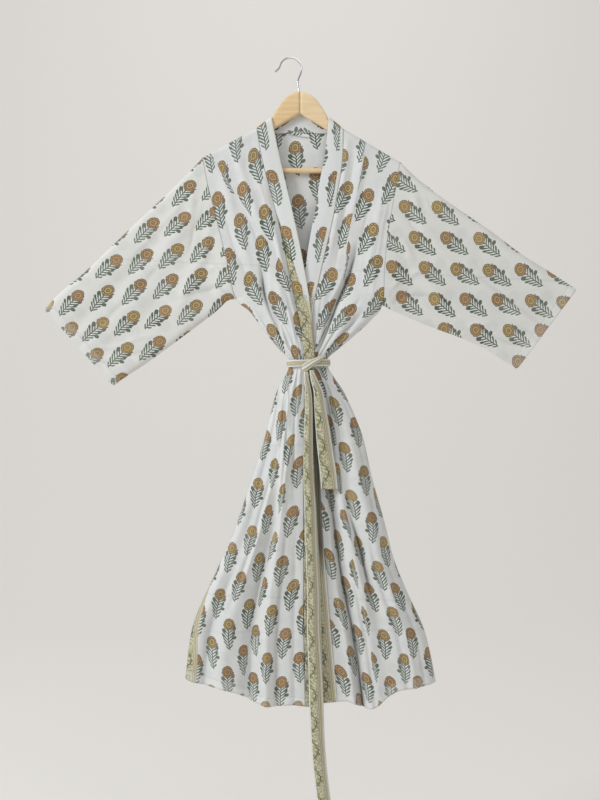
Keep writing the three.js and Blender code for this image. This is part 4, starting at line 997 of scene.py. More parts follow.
def make_neckband():
    down = PANEL_ROWS[1:]
    parts = [
        [values[::-1] for values in front_band_lines("right", down)],
        neck_band_lines(),
        front_band_lines("left", down),
    ]
    seam, edge, roll = (np.concatenate([part[k] for part in parts]) for k in range(3))
    points, u, width = band_section(seam, edge, roll)
    v = cloth_length(seam[:, None, :], 0) + 0 * u
    from_neck = v - v[len(v) // 2]
    maps = {"print": paired(u, v), "edge": paired(from_neck, np.abs(width - u))}
    piece = make_sheet("neckband_strip", points, maps, thick=0.5)
    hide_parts("neckband")
    return piece


neckband_strip = make_neckband()

# %% [markdown]
# ## The sash
# The sash is a narrow sewn tube of the border cloth. It goes once round the gathered waist, and is
# tied at the front in a half knot from which its two ends hang. Each end is curled along its
# length, so it is modelled as a flat tube whose middle stands forward.

# %% Sash sizes
BAND_CLOTH = 2
BELT_GAP = 1
BELT_TUCKED = 1.35
BELT_EASE = 1
RING_HIGH = 15
RING_FLAT = RING_HIGH * 2.2
RING_CLOTH = 1.1
RING_PRINT = 0.62
RING_SLOPE = 1.5
RING_SQUARE = 0.66
RING_PROUD = 1.2
TAIL_NAMES = ("x", "z", "width", "y", "curl")
LONG_TAIL_ROWS = [
    (33, -674.2, 8, -30.5, 2),
    (34, -692, 11, -31, 5),
    (39, -731, 14, -31, 8),
    (38, -800, 19, -31, 10),
    (38, -880, 21, -31.5, 11),
    (41, -950, 24, -32, 11),
    (44, -1050, 24, -33.5, 10),
    (48, -1150, 25, -35.5, 10),
    (48, -1215, 26, -36.5, 9),
    (52, -1300, 28, -37.5, 8),
    (55, -1375, 30, -38, 7),
    (58, -1448, 29, -38, 7),
    (63, -1512, 29, -38, 6),
    (71, -1580, 29, -37, 6),
    (78, -1650, 31, -37, 5),
    (80, -1718, 33, -37, 4),
]
SHORT_TAIL_ROWS = [
    (44.5, -670.7, 8, -30.5, 2),
    (50.5, -692, 15, -31.5, 5),
    (59, -716, 20, -32.5, 6),
    (62, -745, 24, -32, 7),
    (67, -785, 29, -31.5, 7),
    (73, -835, 33, -31, 6),
    (79, -880, 35, -30.5, 5),
    (83, -922, 36, -30.5, 4),
]

# %% Sash ends


def make_tail(name, node, rows, steps):
    """A flat tube: down its outer face from one edge to the other, and back along the inner one."""
    table = columns_of(TAIL_NAMES, rows)
    row = np.linspace(0, len(rows) - 1, steps)
    share = np.linspace(-1, 1, 17)
    x, z, width, y, curl = (column_at(table[name], row)[:, None] for name in TAIL_NAMES)
    drop = curl * (1 - np.abs(share) ** 1.5)[None, :]
    flutter = 0.5 * np.sin(z / 31 + 2 * share) + 0.25 * np.sin(z / 13 + 5 * share)
    body_x = x + share * width / 2 + 0 * z
    outer = np.stack([body_x, y - BAND_CLOTH - drop - 0.4 * flutter, z + 0 * body_x], axis=-1)
    inner = np.stack([body_x, y - drop - 0.4 * flutter, z + 0 * body_x], axis=-1)[:, ::-1][:, 1:-1]
    inner[..., 1] -= 0.3
    points = np.concatenate([outer, inner, outer[:, :1]], axis=1)
    across = cloth_length(outer, 1)
    u = np.concatenate([across, across[:, ::-1][:, 1:-1], across[:, :1]], axis=1)
    v = cloth_length(outer[:, :1], 0) + 0 * u
    to_right = across[:, -1:] - u
    maps = {"print": paired(u, v), "edge": paired(u, to_right)}
    piece = make_sheet(name, points, maps, closed=True, thick=0.4)
    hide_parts(node)
    return piece


long_tail = make_tail("sash_long_end", "belt_tail_long", LONG_TAIL_ROWS, 260)
short_tail = make_tail("sash_short_end", "belt_tail_short", SHORT_TAIL_ROWS, 90)

# %% [markdown]
# The ring round the waist is the same tube, crushed to less than half its width. It follows a
# rounded rectangle just outside the gathers, and small pleats run round it.

# %% Sash round the waist


def squared(value):
    """Rounds a circle's coordinate towards a square."""
    return np.sign(value) * np.abs(value) ** RING_SQUARE


def make_ring():
    right_x = RIGHT_FRONT["side_x"][9]
    left_x = LEFT_FRONT["side_x"][9]
    middle = (right_x + left_x) / 2
    half_wide = (left_x - right_x) / 2 + BELT_GAP + BAND_CLOTH + BELT_EASE
    front = BODY_DEPTH["front"][9] + LAP_OVER + BAND_ROLL + GATHER_DEPTH / 2 + BELT_GAP + BAND_CLOTH
    back = BODY_DEPTH["back"][9] + GATHER_DEPTH + BELT_GAP - BELT_TUCKED + BAND_CLOTH
    middle_z = (RIGHT_FRONT["side_z"][9] + RIGHT_FRONT["side_z"][10]) / 2
    angle = np.linspace(0, 2 * np.pi, 145)[None, :]
    level = np.linspace(-0.5, 0.5, 15)[:, None]
    deep = np.where(np.sin(angle) > 0, back, front)
    pleats = 0.35 * np.sin(level * 22 + 1.2 * np.sin(3 * angle)) * smooth((0.5 - np.abs(level)) / 0.1)
    proud = RING_PROUD * np.cos(np.pi * level) + pleats - 0.35
    slope = RING_SLOPE * np.cos(angle)
    layers = []
    for inset in (0.0, RING_CLOTH):
        x = middle + (half_wide + proud - inset) * squared(np.cos(angle))
        y = (deep + proud - inset) * squared(np.sin(angle))
        z = middle_z + slope + level * (RING_HIGH - inset) + 0 * x
        layers.append(np.stack([x, y, z], axis=-1))
    outer, inner = layers
    points = np.concatenate([outer, inner[::-1], outer[:1]], axis=0).transpose(1, 0, 2)
    level_mm = (level[:, 0] + 0.5) * RING_FLAT
    u = np.concatenate([level_mm, level_mm[::-1], level_mm[:1]])[None, :] + 0 * points[..., 0]
    v = cloth_length(points[:, :1], 0) + 0 * u
    from_edge = RING_PRINT * np.minimum(u, RING_FLAT - u)
    maps = {"print": paired(u, v), "edge": paired(0 * u + FAR, from_edge)}
    piece = make_sheet("sash_ring", points, maps, closed=True, thick=0.4)
    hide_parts("belt_wrap")
    return piece


sash_ring = make_ring()

# %% [markdown]
# The half knot shows as one fold that crosses the ring, from the left front down to the two ends.
# It is a loft of ovals along a short curve, with a groove where the folded tube lies double.

# %% Knot
KNOT_NAMES = ("x", "y", "z", "wide", "deep")
KNOT_ROWS = [
    (25, -30.5, -668.5, 4, 2),
    (28, -32.4, -667, 7.2, 3),
    (35, -34, -662.5, 7.8, 3.6),
    (46, -34.2, -655.5, 6.8, 3.6),
    (57, -33.4, -649, 5.8, 3.2),
    (66, -31, -643.5, 4.6, 2.6),
    (73, -28.6, -639.5, 3, 1.8),
]
KNOT_PRINT = 18
KNOT_SPLIT = 0.12
KNOT_ROUND = 45


def make_knot():
    """The fold that crosses the sash: a loft of oval sections with pleats along it."""
    table = columns_of(KNOT_NAMES, KNOT_ROWS)
    row = np.linspace(0, len(KNOT_ROWS) - 1, 60)
    x, y, z, wide, deep = (column_at(table[name], row) for name in KNOT_NAMES)
    centre = np.stack([x, y, z], axis=-1)
    way = np.gradient(centre, axis=0)
    way /= np.linalg.norm(way, axis=-1, keepdims=True)
    depth_way = np.array([[0, 1, 0]]) - way * way[:, 1:2]
    depth_way /= np.linalg.norm(depth_way, axis=-1, keepdims=True)
    wide_way = np.cross(way, depth_way)
    angle = np.linspace(0, 2 * np.pi, 49)
    pleat = 1 + 0.05 * np.sin(7 * angle[None, :] + 0.9 * np.sin(row[:, None]))
    end = np.where((row < 0.001) | (row > len(KNOT_ROWS) - 1.001), 0.05, 1)[:, None]
    side = np.cos(angle)[None, :] + 0 * row[:, None]
    groove = 1 - 0.3 * np.exp(-(((side - KNOT_SPLIT) / 0.16) ** 2))
    sideways = wide[:, None] * end * np.cos(angle) * pleat
    forward = deep[:, None] * end * np.sin(angle) * pleat * groove
    points = centre[:, None] + wide_way[:, None] * sideways[..., None]
    points = points + depth_way[:, None] * forward[..., None]
    u = angle[None, :] / (2 * np.pi) * KNOT_ROUND + 0 * row[:, None]
    v = cloth_length(centre[:, None], 0) + 0 * u
    from_edge = KNOT_PRINT * np.minimum(1 - np.abs(side), 0.8 * np.abs(side - KNOT_SPLIT))
    maps = {"print": paired(u, v), "edge": paired(0 * u + FAR, from_edge)}
    piece = make_sheet("sash_knot", points, maps, closed=True, thick=0.4)
    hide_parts("belt_knot")
    return piece


sash_knot = make_knot()

# %% [markdown]
# ## Loop inside the neck
# A short doubled tape inside the back of the neck, to hang the robe by.

# %% Loop
LOOP_NAMES = ("x", "z", "high")
LOOP_ROWS = [
    (-6, -154.5, 5), (2, -157.5, 8), (12, -160, 8.5), (22, -161.5, 8.5), (32, -163, 8), (41, -165.5, 5),
]
LOOP_BOW = 0.6
LOOP_CLOTH = 1.4


def make_loop():
    table = columns_of(LOOP_NAMES, LOOP_ROWS)
    row = np.linspace(0, len(LOOP_ROWS) - 1, 40)[:, None]
    share = np.linspace(-1, 1, 9)[None, :]
    x, z, high = (column_at(table[name], row) for name in LOOP_NAMES)
    face = BODY_DEPTH["back"][0] + BAND_PROUD - BAND_CLOTH - SEAM
    outer_y = face - LOOP_CLOTH - LOOP_BOW * (1 - np.abs(share)) + 0 * x
    z = z + share * high / 2
    x = x + 0 * z
    outer = np.stack([x, outer_y, z], axis=-1)
    inner = np.stack([x, outer_y + LOOP_CLOTH, z], axis=-1)[:, ::-1][:, 1:-1]
    points = np.concatenate([outer, inner, outer[:, :1]], axis=1)
    around = cloth_length(points, 1)
    along = cloth_length(points[:, :1], 0) + 0 * around
    uv = paired(around + 300, along + 200)
    maps = {"print": uv, "edge": 0 * uv + FAR, "fold": 0 * uv}
    piece = make_sheet("neck_loop", points, maps, closed=True, thick=0.4)
    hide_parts("hanging_loop")
    return piece


neck_loop = make_loop()

# %% [markdown]
# ## Shader tools
# A procedural material is a sum of small formulas. Writing them as Python expressions keeps them
# readable, so one small class wraps a socket and turns + - * / into Math nodes.

# %% Socket class


class Wire:
    """One output socket, usable in expressions. Numbers alone stay numbers."""

    def __init__(self, tree, socket):
        self.tree = tree
        self.socket = socket

    def node(self, kind, settings=None, inputs=None, output=0):
        """Any node: its settings are set first, then its sockets by name or index."""
        made = self.tree.nodes.new(kind)
        for key, value in (settings or {}).items():
            setattr(made, key, value)
        for key, value in (inputs or {}).items():
            if isinstance(value, Wire):
                self.tree.links.new(value.socket, made.inputs[key])
            else:
                made.inputs[key].default_value = value
        return Wire(self.tree, made.outputs[output])

    def into(self, shader, name):
        """Feeds one of a shader's sockets."""
        self.tree.links.new(self.socket, shader.inputs[name])

    def math(self, operation, other=0.0, swap=False):
        first, second = (other, self) if swap else (self, other)
        return self.node("ShaderNodeMath", {"operation": operation}, {0: first, 1: second})

    def __add__(self, other):
        return self.math("ADD", other)

    def __sub__(self, other):
        return self.math("SUBTRACT", other)

    def __rsub__(self, other):
        return self.math("SUBTRACT", other, swap=True)

    def __mul__(self, other):
        return self.math("MULTIPLY", other)

    def __truediv__(self, other):
        return self.math("DIVIDE", other)

    __radd__ = __add__
    __rmul__ = __mul__

    def abs(self):
        return self.math("ABSOLUTE")

    def floor(self):
        return self.math("FLOOR")

    def fraction(self):
        return self.math("FRACT")

    def sin(self):
        return self.math("SINE")

    def sqrt(self):
        return self.math("SQRT")

    def power(self, other):
        return self.math("POWER", other)

    def modulo(self, other):
        return self.math("FLOORED_MODULO", other)

    def at_least(self, other):
        return self.math("MAXIMUM", other)

    def at_most(self, other):
        return self.math("MINIMUM", other)

    def angle_over(self, other):
        return self.math("ARCTAN2", other)

    def above(self, other):
        return self.math("GREATER_THAN", other)

    def step(self, low, high):
        """A soft step from 0 at low to 1 at high; low may be the larger one."""
        if low > high:
            return 1 - self.step(high, low)
        inputs = {"Value": self, "From Min": low, "From Max": high}
        return self.node("ShaderNodeMapRange", {"interpolation_type": "SMOOTHSTEP"}, inputs)

    def mix(self, low, high):
        """Two colours mixed by this value."""
        inputs = {0: self, 6: low, 7: high}
        return self.node("ShaderNodeMix", {"data_type": "RGBA"}, inputs, 2)


def start_material(name, settings):
    """A material, its shader with what is the same all over, and a wire to start expressions from."""
    material = bpy.data.materials.new(name)
    material.use_nodes = True
    shader = material.node_tree.nodes["Principled BSDF"]
    for key, value in settings.items():
        shader.inputs[key].default_value = value
    return material, shader, Wire(material.node_tree, None)


def colour(red, green, blue):
    """A colour given as on screen, 0 to 255, as a shader wants it."""
    linear = [((v / 255 + 0.055) / 1.055) ** 2.4 if v > 10 else v / 3295 for v in (red, green, blue)]
    return (*linear, 1.0)


def components(wire, value, kind="ShaderNodeSeparateXYZ"):
    """The three parts of a vector or a colour."""
    split = wire.node(kind, inputs={0: value}).socket.node
    return [Wire(wire.tree, socket) for socket in split.outputs]


def uv_in_mm(wire, layer):
    """U and V of a UV map, in mm of cloth."""
    across, down = components(wire, wire.node("ShaderNodeUVMap", {"uv_map": layer}))[:2]
    return across * 1000, down * 1000


def object_place(wire):
    return wire.node("ShaderNodeTexCoord", output="Object")


def sideways_and_height(wire):
    """x and z of a point on the piece, in mm."""
    parts = components(wire, object_place(wire))
    return parts[0] * 1000, parts[2] * 1000


def vector(wire, x, y, z=0.0):
    return wire.node("ShaderNodeCombineXYZ", inputs={0: x, 1: y, 2: z})


def noise(wire, place, scale, detail=2.0, output=0):
    inputs = {"Vector": place, "Scale": scale, "Detail": detail}
    return wire.node("ShaderNodeTexNoise", {"noise_dimensions": "3D"}, inputs, output)


def bumped(height, strength, distance):
    """A normal that follows a height map."""
    inputs = {"Strength": strength, "Distance": distance, "Height": height}
    return height.node("ShaderNodeBump", inputs=inputs)


print("shader tools ready")

# %% [markdown]
# ## The flower print
# The print is a block print: one small flowering plant, repeated in staggered columns. The plant is
# a round bloom with petals in rings, a stem with pairs of narrow leaves that get shorter towards its
# foot, and a few buds beside it. Every part is a formula on the distance across and along the cloth
# from the middle of its own cell, so it never shows a seam in an image. Each cell gets its own
# random number, because the real ink varies from stamp to stamp.

# %% Print sizes and inks
COLUMN_PITCH = 42
REPEAT = 105
BLOOM = (0.5, 18.5, 14.3, 12.2)
BLOOM_LEAN = 34
RING_COUNT = 2.3
LEAF_PITCH = 6.5
LEAF_FOOT = -37
LEAF_TOP = 5
LEAF_SLOPE = 0.78
LEAF_HALF = 2.75
# Each bud: its place, its two half widths, its lean in degrees, and how red it is.
BUDS = [
    (-11.8, 3.6, 5.4, 3.6, -28, 0.25),
    (14.6, 11.0, 4.2, 5.2, -14, 0.9),
    (14.2, -9.5, 6.0, 3.6, 14, 0.3),
    (-14.6, -6.5, 2.4, 4.6, 40, 0.1),
    (12.6, 1.2, 2.4, 4.8, -42, 0.15),
]
PRINT_WOBBLE = 2.2
STAMP_SHIFT = (2.5, 3.5)
CLOTH_WHITE = colour(224, 225, 224)
LEAF_DARK = colour(36, 52, 36)
LEAF_MIDDLE = colour(62, 88, 64)
LEAF_LIGHT = colour(106, 138, 106)
BLOOM_LINE = colour(58, 44, 24)
BLOOM_BROWN = colour(188, 150, 106)
BLOOM_YELLOW = colour(197, 171, 112)
BUD_RED = colour(146, 78, 66)

# %% The plant


def oval(x, y, centre_x, centre_y, half_x, half_y, lean=0.0):
    """Distance from an oval's centre, 1 on its outline, and the two parts of that distance."""
    cos = math.cos(math.radians(lean))
    sin = math.sin(math.radians(lean))
    over = x - centre_x
    up = y - centre_y
    along = (over * cos + up * sin) / half_x
    tall = (up * cos - over * sin) / half_y
    return (along * along + tall * tall).sqrt(), along, tall


def draw_bloom(x, y):
    """Masks of the bloom: its whole shape, and its dark rings of petals."""
    radius, along, tall = oval(x, y, *BLOOM, lean=BLOOM_LEAN)
    angle = tall.angle_over(along)
    scallop = radius + 0.014 * (angle * 11).sin()
    bloom = scallop.step(1.04, 0.97)
    wavy = radius * RING_COUNT + 0.1 * (angle * 9).sin()
    rings = (wavy.fraction() - 0.5).abs().step(0.34, 0.2)
    petals = (angle * 13 + wavy.floor() * 2.1).sin().step(-0.95, -0.2)
    rim = scallop.step(0.82, 0.92)
    lines = (rings * (petals * 0.4 + 0.42)).at_least(rim * 0.95)
    return bloom, lines.at_most(1.0) * bloom


def draw_leaves(x, y):
    """Masks of the stem with its pairs of leaves: the whole shape, and its dark lines."""
    from_stem = x - 0.9 * (y * 0.11).sin()
    side = from_stem.abs()
    right = from_stem.above(0.0)
    climb = (y - side * LEAF_SLOPE - right * 3.0) / LEAF_PITCH
    index = climb.floor()
    from_leaf = ((climb.fraction() - 0.5) * LEAF_PITCH).abs()
    height = (index + 0.5) * LEAF_PITCH
    uneven = (index * 2.4 + right * 1.7).sin() * 0.12 + 1
    reach = ((height - LEAF_FOOT) * 0.3 + 9.5).at_most(15.5) * uneven
    share = side / reach
    tip = (1.04 - share).at_least(0.0).at_most(0.3) / 0.3
    fat = tip.power(0.5) * (share * 0.6 + 0.42) * LEAF_HALF
    allowed = height.step(LEAF_FOOT - 1.5, LEAF_FOOT) * height.step(LEAF_TOP + 1, LEAF_TOP)
    inward = fat - from_leaf
    leaf = inward.step(-0.1, 0.4) * allowed * share.step(1.02, 0.96)
    stem = side.step(1.3, 0.8) * y.step(LEAF_FOOT - 1, LEAF_FOOT + 1) * y.step(9, 7)
    outline = inward.step(0.9, 0.3) * leaf
    vein = from_leaf.step(0.55, 0.2) * leaf
    dark = outline.at_least(vein * 0.8).at_least(stem)
    return leaf.at_least(stem), dark


def plant(x, y):
    """Masks of the plant at x, y from its cell's middle: green, dark line, bloom, petals, warmth."""
    bloom, petals = draw_bloom(x, y)
    leaf, dark = draw_leaves(x, y)
    warm = leaf * 0.0
    for bud_x, bud_y, wide, long, lean, heat in BUDS:
        away, bud_along, bud_tall = oval(x, y, bud_x, bud_y, wide, long, lean)
        bud = away.step(1.05, 0.92)
        stripes = (bud_along * 7).sin().abs().step(0.8, 0.4) * 0.6
        leaf = leaf.at_least(bud)
        dark = dark * (1 - bud) + away.step(0.6, 0.85).at_least(stripes) * bud
        warm = warm.at_least(bud * (bud_tall.step(-0.9, 0.6) * heat))
    return leaf * (1 - bloom), dark, bloom, petals, warm


def print_cell(wire, across, down):
    """Place in the repeat's cell, and three random numbers for each cell."""
    column = (across / COLUMN_PITCH).floor()
    run = down / REPEAT + column.modulo(2.0) * 0.5
    cell = {0: vector(wire, column, run.floor())}
    luck = wire.node("ShaderNodeTexWhiteNoise", {"noise_dimensions": "2D"}, cell, 1)
    chances = components(wire, luck, "ShaderNodeSeparateColor")
    x = ((across / COLUMN_PITCH).fraction() - 0.5) * COLUMN_PITCH
    y = (0.5 - run.fraction()) * REPEAT
    return x, y, chances


def flower_print(wire, across, down, ground):
    """The printed cloth's colour, and how much ink lies on it."""
    wobble = noise(wire, vector(wire, across * 0.16, down * 0.16), 1.0, 2.0, output=1)
    shift_across, shift_down = components(wire, wobble)[:2]
    across = across + (shift_across - 0.5) * PRINT_WOBBLE
    down = down + (shift_down - 0.5) * PRINT_WOBBLE
    x, y, (first, second, third) = print_cell(wire, across, down)
    x = x + (first - 0.5) * STAMP_SHIFT[0]
    y = y + (second - 0.5) * STAMP_SHIFT[1]
    tilt = (third - 0.5) * 0.2 + 0.04
    leaf, dark, bloom, petals, warm = plant(x + tilt * y, y - tilt * x)
    ink = noise(wire, vector(wire, across * 0.45, down * 0.45), 1.0, 3.0)
    patchy = ink.step(0.25, 0.6) * 0.22 + 0.78
    fresh = first * 0.12 + 0.88
    green_fill = (ink.step(0.35, 0.65) * (0.25 + third * 0.5)).mix(LEAF_MIDDLE, LEAF_LIGHT)
    green_ink = (dark * 0.9).mix(green_fill, LEAF_DARK)
    green_ink = (warm * (1 - dark * 0.5)).mix(green_ink, BUD_RED)
    bloom_fill = (second.step(0.1, 0.9) * 0.85 + ink * 0.3 - 0.06).mix(BLOOM_BROWN, BLOOM_YELLOW)
    bloom_ink = (petals * (0.72 + third * 0.25)).mix(bloom_fill, BLOOM_LINE)
    shade = (leaf * patchy * fresh).mix(ground, green_ink)
    shade = (bloom * (patchy * 0.3 + 0.68)).mix(shade, bloom_ink)
    return shade, leaf.at_least(bloom)


print("print repeat", COLUMN_PITCH, "by", REPEAT, "mm")

# %% [markdown]
# ## Cloth and weave
# Plain-woven cotton is matt, with a fine grid of threads and some thicker slubs. The weave is too
# fine to see as threads from two metres away, but it breaks up the light, so it is a small bump.
# Stitches run 18 mm above the hem, where the cloth is turned up and lies double.

# %% Weave and hems
MATT_COTTON = {"Roughness": 0.9, "Sheen Weight": 0.12, "Specular IOR Level": 0.25}
WARM_WHITE = colour(231, 230, 226)
DOUBLE_WHITE = colour(255, 255, 252)
# Grey of the stitch thread, also painted as shade along the seams.
THREAD_AND_SEAM_SHADE_GREY = colour(150, 148, 140)
GHOST_GREY = colour(170, 182, 186)
# Painted shade for the folds, creases and storage lines, and its strength in the folds.
PAINTED_SHADE_GREY = colour(74, 74, 68)
FOLD_SHADE_STRENGTH = 0.8
STORED_LINES = [(-452, 0.05), (-831, -0.02), (-1153, 0.03), (-1226, -0.01)]
STORED_WIDTH = 4
STRIP_WIDTH = 26
STRIP_HEIGHT = 255


def weave_height(wire, across, down):
    threads = (across * 7.4).sin() * (down * 7.4).sin()
    slub = noise(wire, vector(wire, across * 0.05, down * 1.1), 1.0, 2.0)
    slub_across = noise(wire, vector(wire, across * 1.1, down * 0.05), 1.0, 2.0)
    crumple = noise(wire, vector(wire, across * 0.03, down * 0.022), 1.0, 4.0)
    return threads * 0.04 + slub * 0.08 + slub_across * 0.08, crumple


def hem_lines(to_hem, along, at_mm=18.0):
    """Dashes of a line of stitches, and the step where the hem's turned-up layer ends."""
    stitch = (to_hem - at_mm).abs().step(0.9, 0.35) * (along / 3.4).fraction().step(0.12, 0.25)
    layer = to_hem.step(at_mm + 2.6, at_mm + 1.6)
    return stitch, layer


# %% [markdown]
# ## The border cloth
# The sash and the neckband are cut from the cloth's printed border: a winding vine with leaves on a
# cream ground, between thin ochre and dark stripes, with a white edge.

# %% Border material
BORDER_CREAM = colour(206, 203, 178)
BORDER_WHITE = colour(228, 229, 224)
VINE_GREEN = colour(116, 114, 52)
VINE_DARK = colour(58, 66, 54)
STRIPE_OCHRE = colour(164, 136, 88)
VINE_ROSE = colour(150, 112, 88)
VINE_REPEAT = 58
VINE_AT = 25
SASH_WHITE = 3.4
BAND_WHITE = 2.6


def vine_print(wire, across, down, white_from):
    """A vine that winds along the strip, striped beside it. across is 0 on the white edge."""
    wobble = noise(wire, vector(wire, across * 0.2, down * 0.2), 1.0, 2.0)
    across = across + (wobble - 0.5) * 2.4
    winding = down * (2 * math.pi / VINE_REPEAT)
    line = across - VINE_AT - winding.sin() * 8
    vine = line.abs().step(1.7, 0.8)
    tendril = (across - VINE_AT + (winding + 0.9).sin() * 7).abs().step(1.1, 0.4)
    leaf_run = (down / 9.5).fraction() - 0.5
    leaf_out = (line.abs() - 4.6) / 4.2
    leaf = (leaf_out * leaf_out + (leaf_run * 9.5 + line * 0.6).abs() / 2.9).step(1.1, 0.7)
    spray = noise(wire, vector(wire, across * 0.3, down * 0.24), 1.0, 3.0).step(0.48, 0.54)
    dots = noise(wire, vector(wire, across * 0.42 + 9, down * 0.36), 1.0, 2.0).step(0.58, 0.64)
    beads = (down / 4.6).fraction().step(0.1, 0.3) * 0.5 + 0.5
    stripes = (across - 7.6).abs().step(1.7, 1.0) * beads + (across - 4.0).abs().step(0.7, 0.3)
    dark_stripe = (across - 11.4).abs().step(0.8, 0.4)
    far_stripe = (across - 41).abs().step(1.6, 0.9)
    inside = across.step(12.4, 13.4) * across.step(40, 39)
    green = (leaf * 0.9).at_least(spray * 0.65).at_least(tendril * 0.7) * inside
    shade = (green * 0.85).mix(BORDER_CREAM, VINE_GREEN)
    shade = (dots * 0.7 * inside).mix(shade, VINE_ROSE)
    shade = (vine * 0.85 * inside).mix(shade, VINE_DARK)
    shade = (stripes.at_least(far_stripe).at_most(1.0) * 0.7).mix(shade, STRIPE_OCHRE)
    shade = (dark_stripe * 0.7).mix(shade, VINE_DARK)
    white = across.step(white_from + 0.6, white_from)
    return white.mix(shade, BORDER_WHITE)


def sash_material():
    material, shader, wire = start_material("sash_cotton", MATT_COTTON)
    across, down = uv_in_mm(wire, "print")
    to_far_edge, to_edge = uv_in_mm(wire, "edge")
    shade = vine_print(wire, to_edge, down, SASH_WHITE)
    to_far_edge.step(2.8, 2.0).mix(shade, BORDER_WHITE).into(shader, "Base Color")
    weave, crumple = weave_height(wire, across, down)
    bumped(weave + crumple * 2.0, 0.5, 0.001).into(shader, "Normal")
    return material


sash_cotton = sash_material()
for piece in (long_tail, short_tail, sash_ring, sash_knot):
    piece.data.materials.append(sash_cotton)
print("border print on the sash")

# %% [markdown]
# Thin cotton lets the print behind it show through as a grey shadow, and it keeps faint level
# lines where it lay folded, with a little painted shade. Stitches are drawn over the print, and so is
# painted shade along the seams and in the depths of the folds, from the maps that the sheets carry.
# The sleeves are a little yellower than the body.

# %% Cotton material


def ghost_print(wire, across, down):
    """A faint shadow of the print on the layer behind, which shows through thin cotton."""
    x, y = print_cell(wire, across + 14, down + 31)[:2]
    bloom = oval(x, y, *BLOOM)[0]
    leaves = oval(x, y, 0, -14, 13, 22)[0]
    return bloom.step(1.25, 0.7).at_least(leaves.step(1.2, 0.6) * 0.7)


def storage_creases(wire):
    """Faint level lines where the robe lay folded, by height: a dip in the bump, and a little painted
    shade.
    """
    x, z = sideways_and_height(wire)
    return sum((z - height + x * lean).abs().step(STORED_WIDTH, 0) for height, lean in STORED_LINES)


def side_border(wire, shade, from_side, to_hem):
    """The printed border shows along the lower end of the right front's side."""
    strip = to_hem.step(STRIP_HEIGHT, 0) * STRIP_WIDTH
    vines = vine_print(wire, strip - from_side + 3, to_hem, BAND_WHITE)
    inside = (from_side - strip).step(0.6, -0.6) * to_hem.step(STRIP_HEIGHT, STRIP_HEIGHT - 15)
    return inside.mix(shade, vines)


def cotton_material(name, ground=CLOTH_WHITE, ghost=0.0, bordered=False):
    material, shader, wire = start_material(name, {**MATT_COTTON, "Sheen Roughness": 0.6})
    across, down = uv_in_mm(wire, "print")
    to_hem, to_side = uv_in_mm(wire, "edge")
    painted_shade_amount, from_side = uv_in_mm(wire, "fold")
    painted_shade_amount = (painted_shade_amount * 0.001).at_most(1.0)
    weave, crumple = weave_height(wire, across, down)
    tone = noise(wire, vector(wire, across * 0.012, down * 0.009), 1.0, 3.0)
    plain = (tone.step(0.3, 0.7) * 0.5).mix(ground, WARM_WHITE)
    plain = (ghost_print(wire, across, down) * ghost).mix(plain, GHOST_GREY)
    shade, ink = flower_print(wire, across, down, plain)
    if bordered:
        shade = side_border(wire, shade, from_side, to_hem)
    stitch, layer = hem_lines(to_hem, across)
    seam = to_side.step(2.2, 0.6)
    stored_lines_dip_and_shade = storage_creases(wire)
    # Thread grey on the stitches; along the seams the same grey is painted shade, beside a dip in the
    # bump.
    shade = (stitch * 0.35 + seam * 0.18).mix(shade, THREAD_AND_SEAM_SHADE_GREY)
    shade = (layer * 0.12).mix(shade, DOUBLE_WHITE)
    # Painted shade: darker in the troughs of the folds and creases, and a little along the storage lines.
    (painted_shade_amount * FOLD_SHADE_STRENGTH + stored_lines_dip_and_shade * 0.05).mix(shade, PAINTED_SHADE_GREY).into(shader, "Base Color")
    height = weave + crumple * 2.4 + layer * 0.5 - stitch * 0.5 - seam * 0.5 - stored_lines_dip_and_shade * 0.9
    bumped(height, 0.55, 0.0012).into(shader, "Normal")
    (MATT_COTTON["Roughness"] - ink * 0.06).into(shader, "Roughness")
    return material


printed_cotton = cotton_material("printed_cotton", ghost=0.12)
thin_cotton = cotton_material("sleeve_cotton", colour(226, 225, 220), ghost=0.14)
bordered_cotton = cotton_material("bordered_cotton", ghost=0.12, bordered=True)
front_right.data.materials.append(bordered_cotton)
for piece in (front_left, back_panel, neck_loop):
    piece.data.materials.append(printed_cotton)
for piece in (right_sleeve, left_sleeve):
    piece.data.materials.append(thin_cotton)
print("printed cotton on the panels and the sleeves")

# %% [markdown]
# The neckband carries the flower print on the chest. Lower down its printed border comes out: on the
# right front as a sliver that widens towards the sash, and on the left front all at once behind the
# sash. So its material mixes the two prints by the distance along the band. The gap between the two
# ends of the sash is a deep fold, and gets a painted shade.

# %% Neckband material
VINE_FROM = 300
VINE_WIDENS = 0.13
HIDDEN_FROM = 480
EDGE_WHITE = (14, 11)
EDGE_WHITE_FADE = (110, 330)
SEAM_WHITE = 8
GAP_TOP = -690
GAP_END = -1040
GAP_FROM = 45.8
GAP_LEAN = 0.053
GAP_HALF = 4.5
GAP_DARK = colour(54, 54, 38)


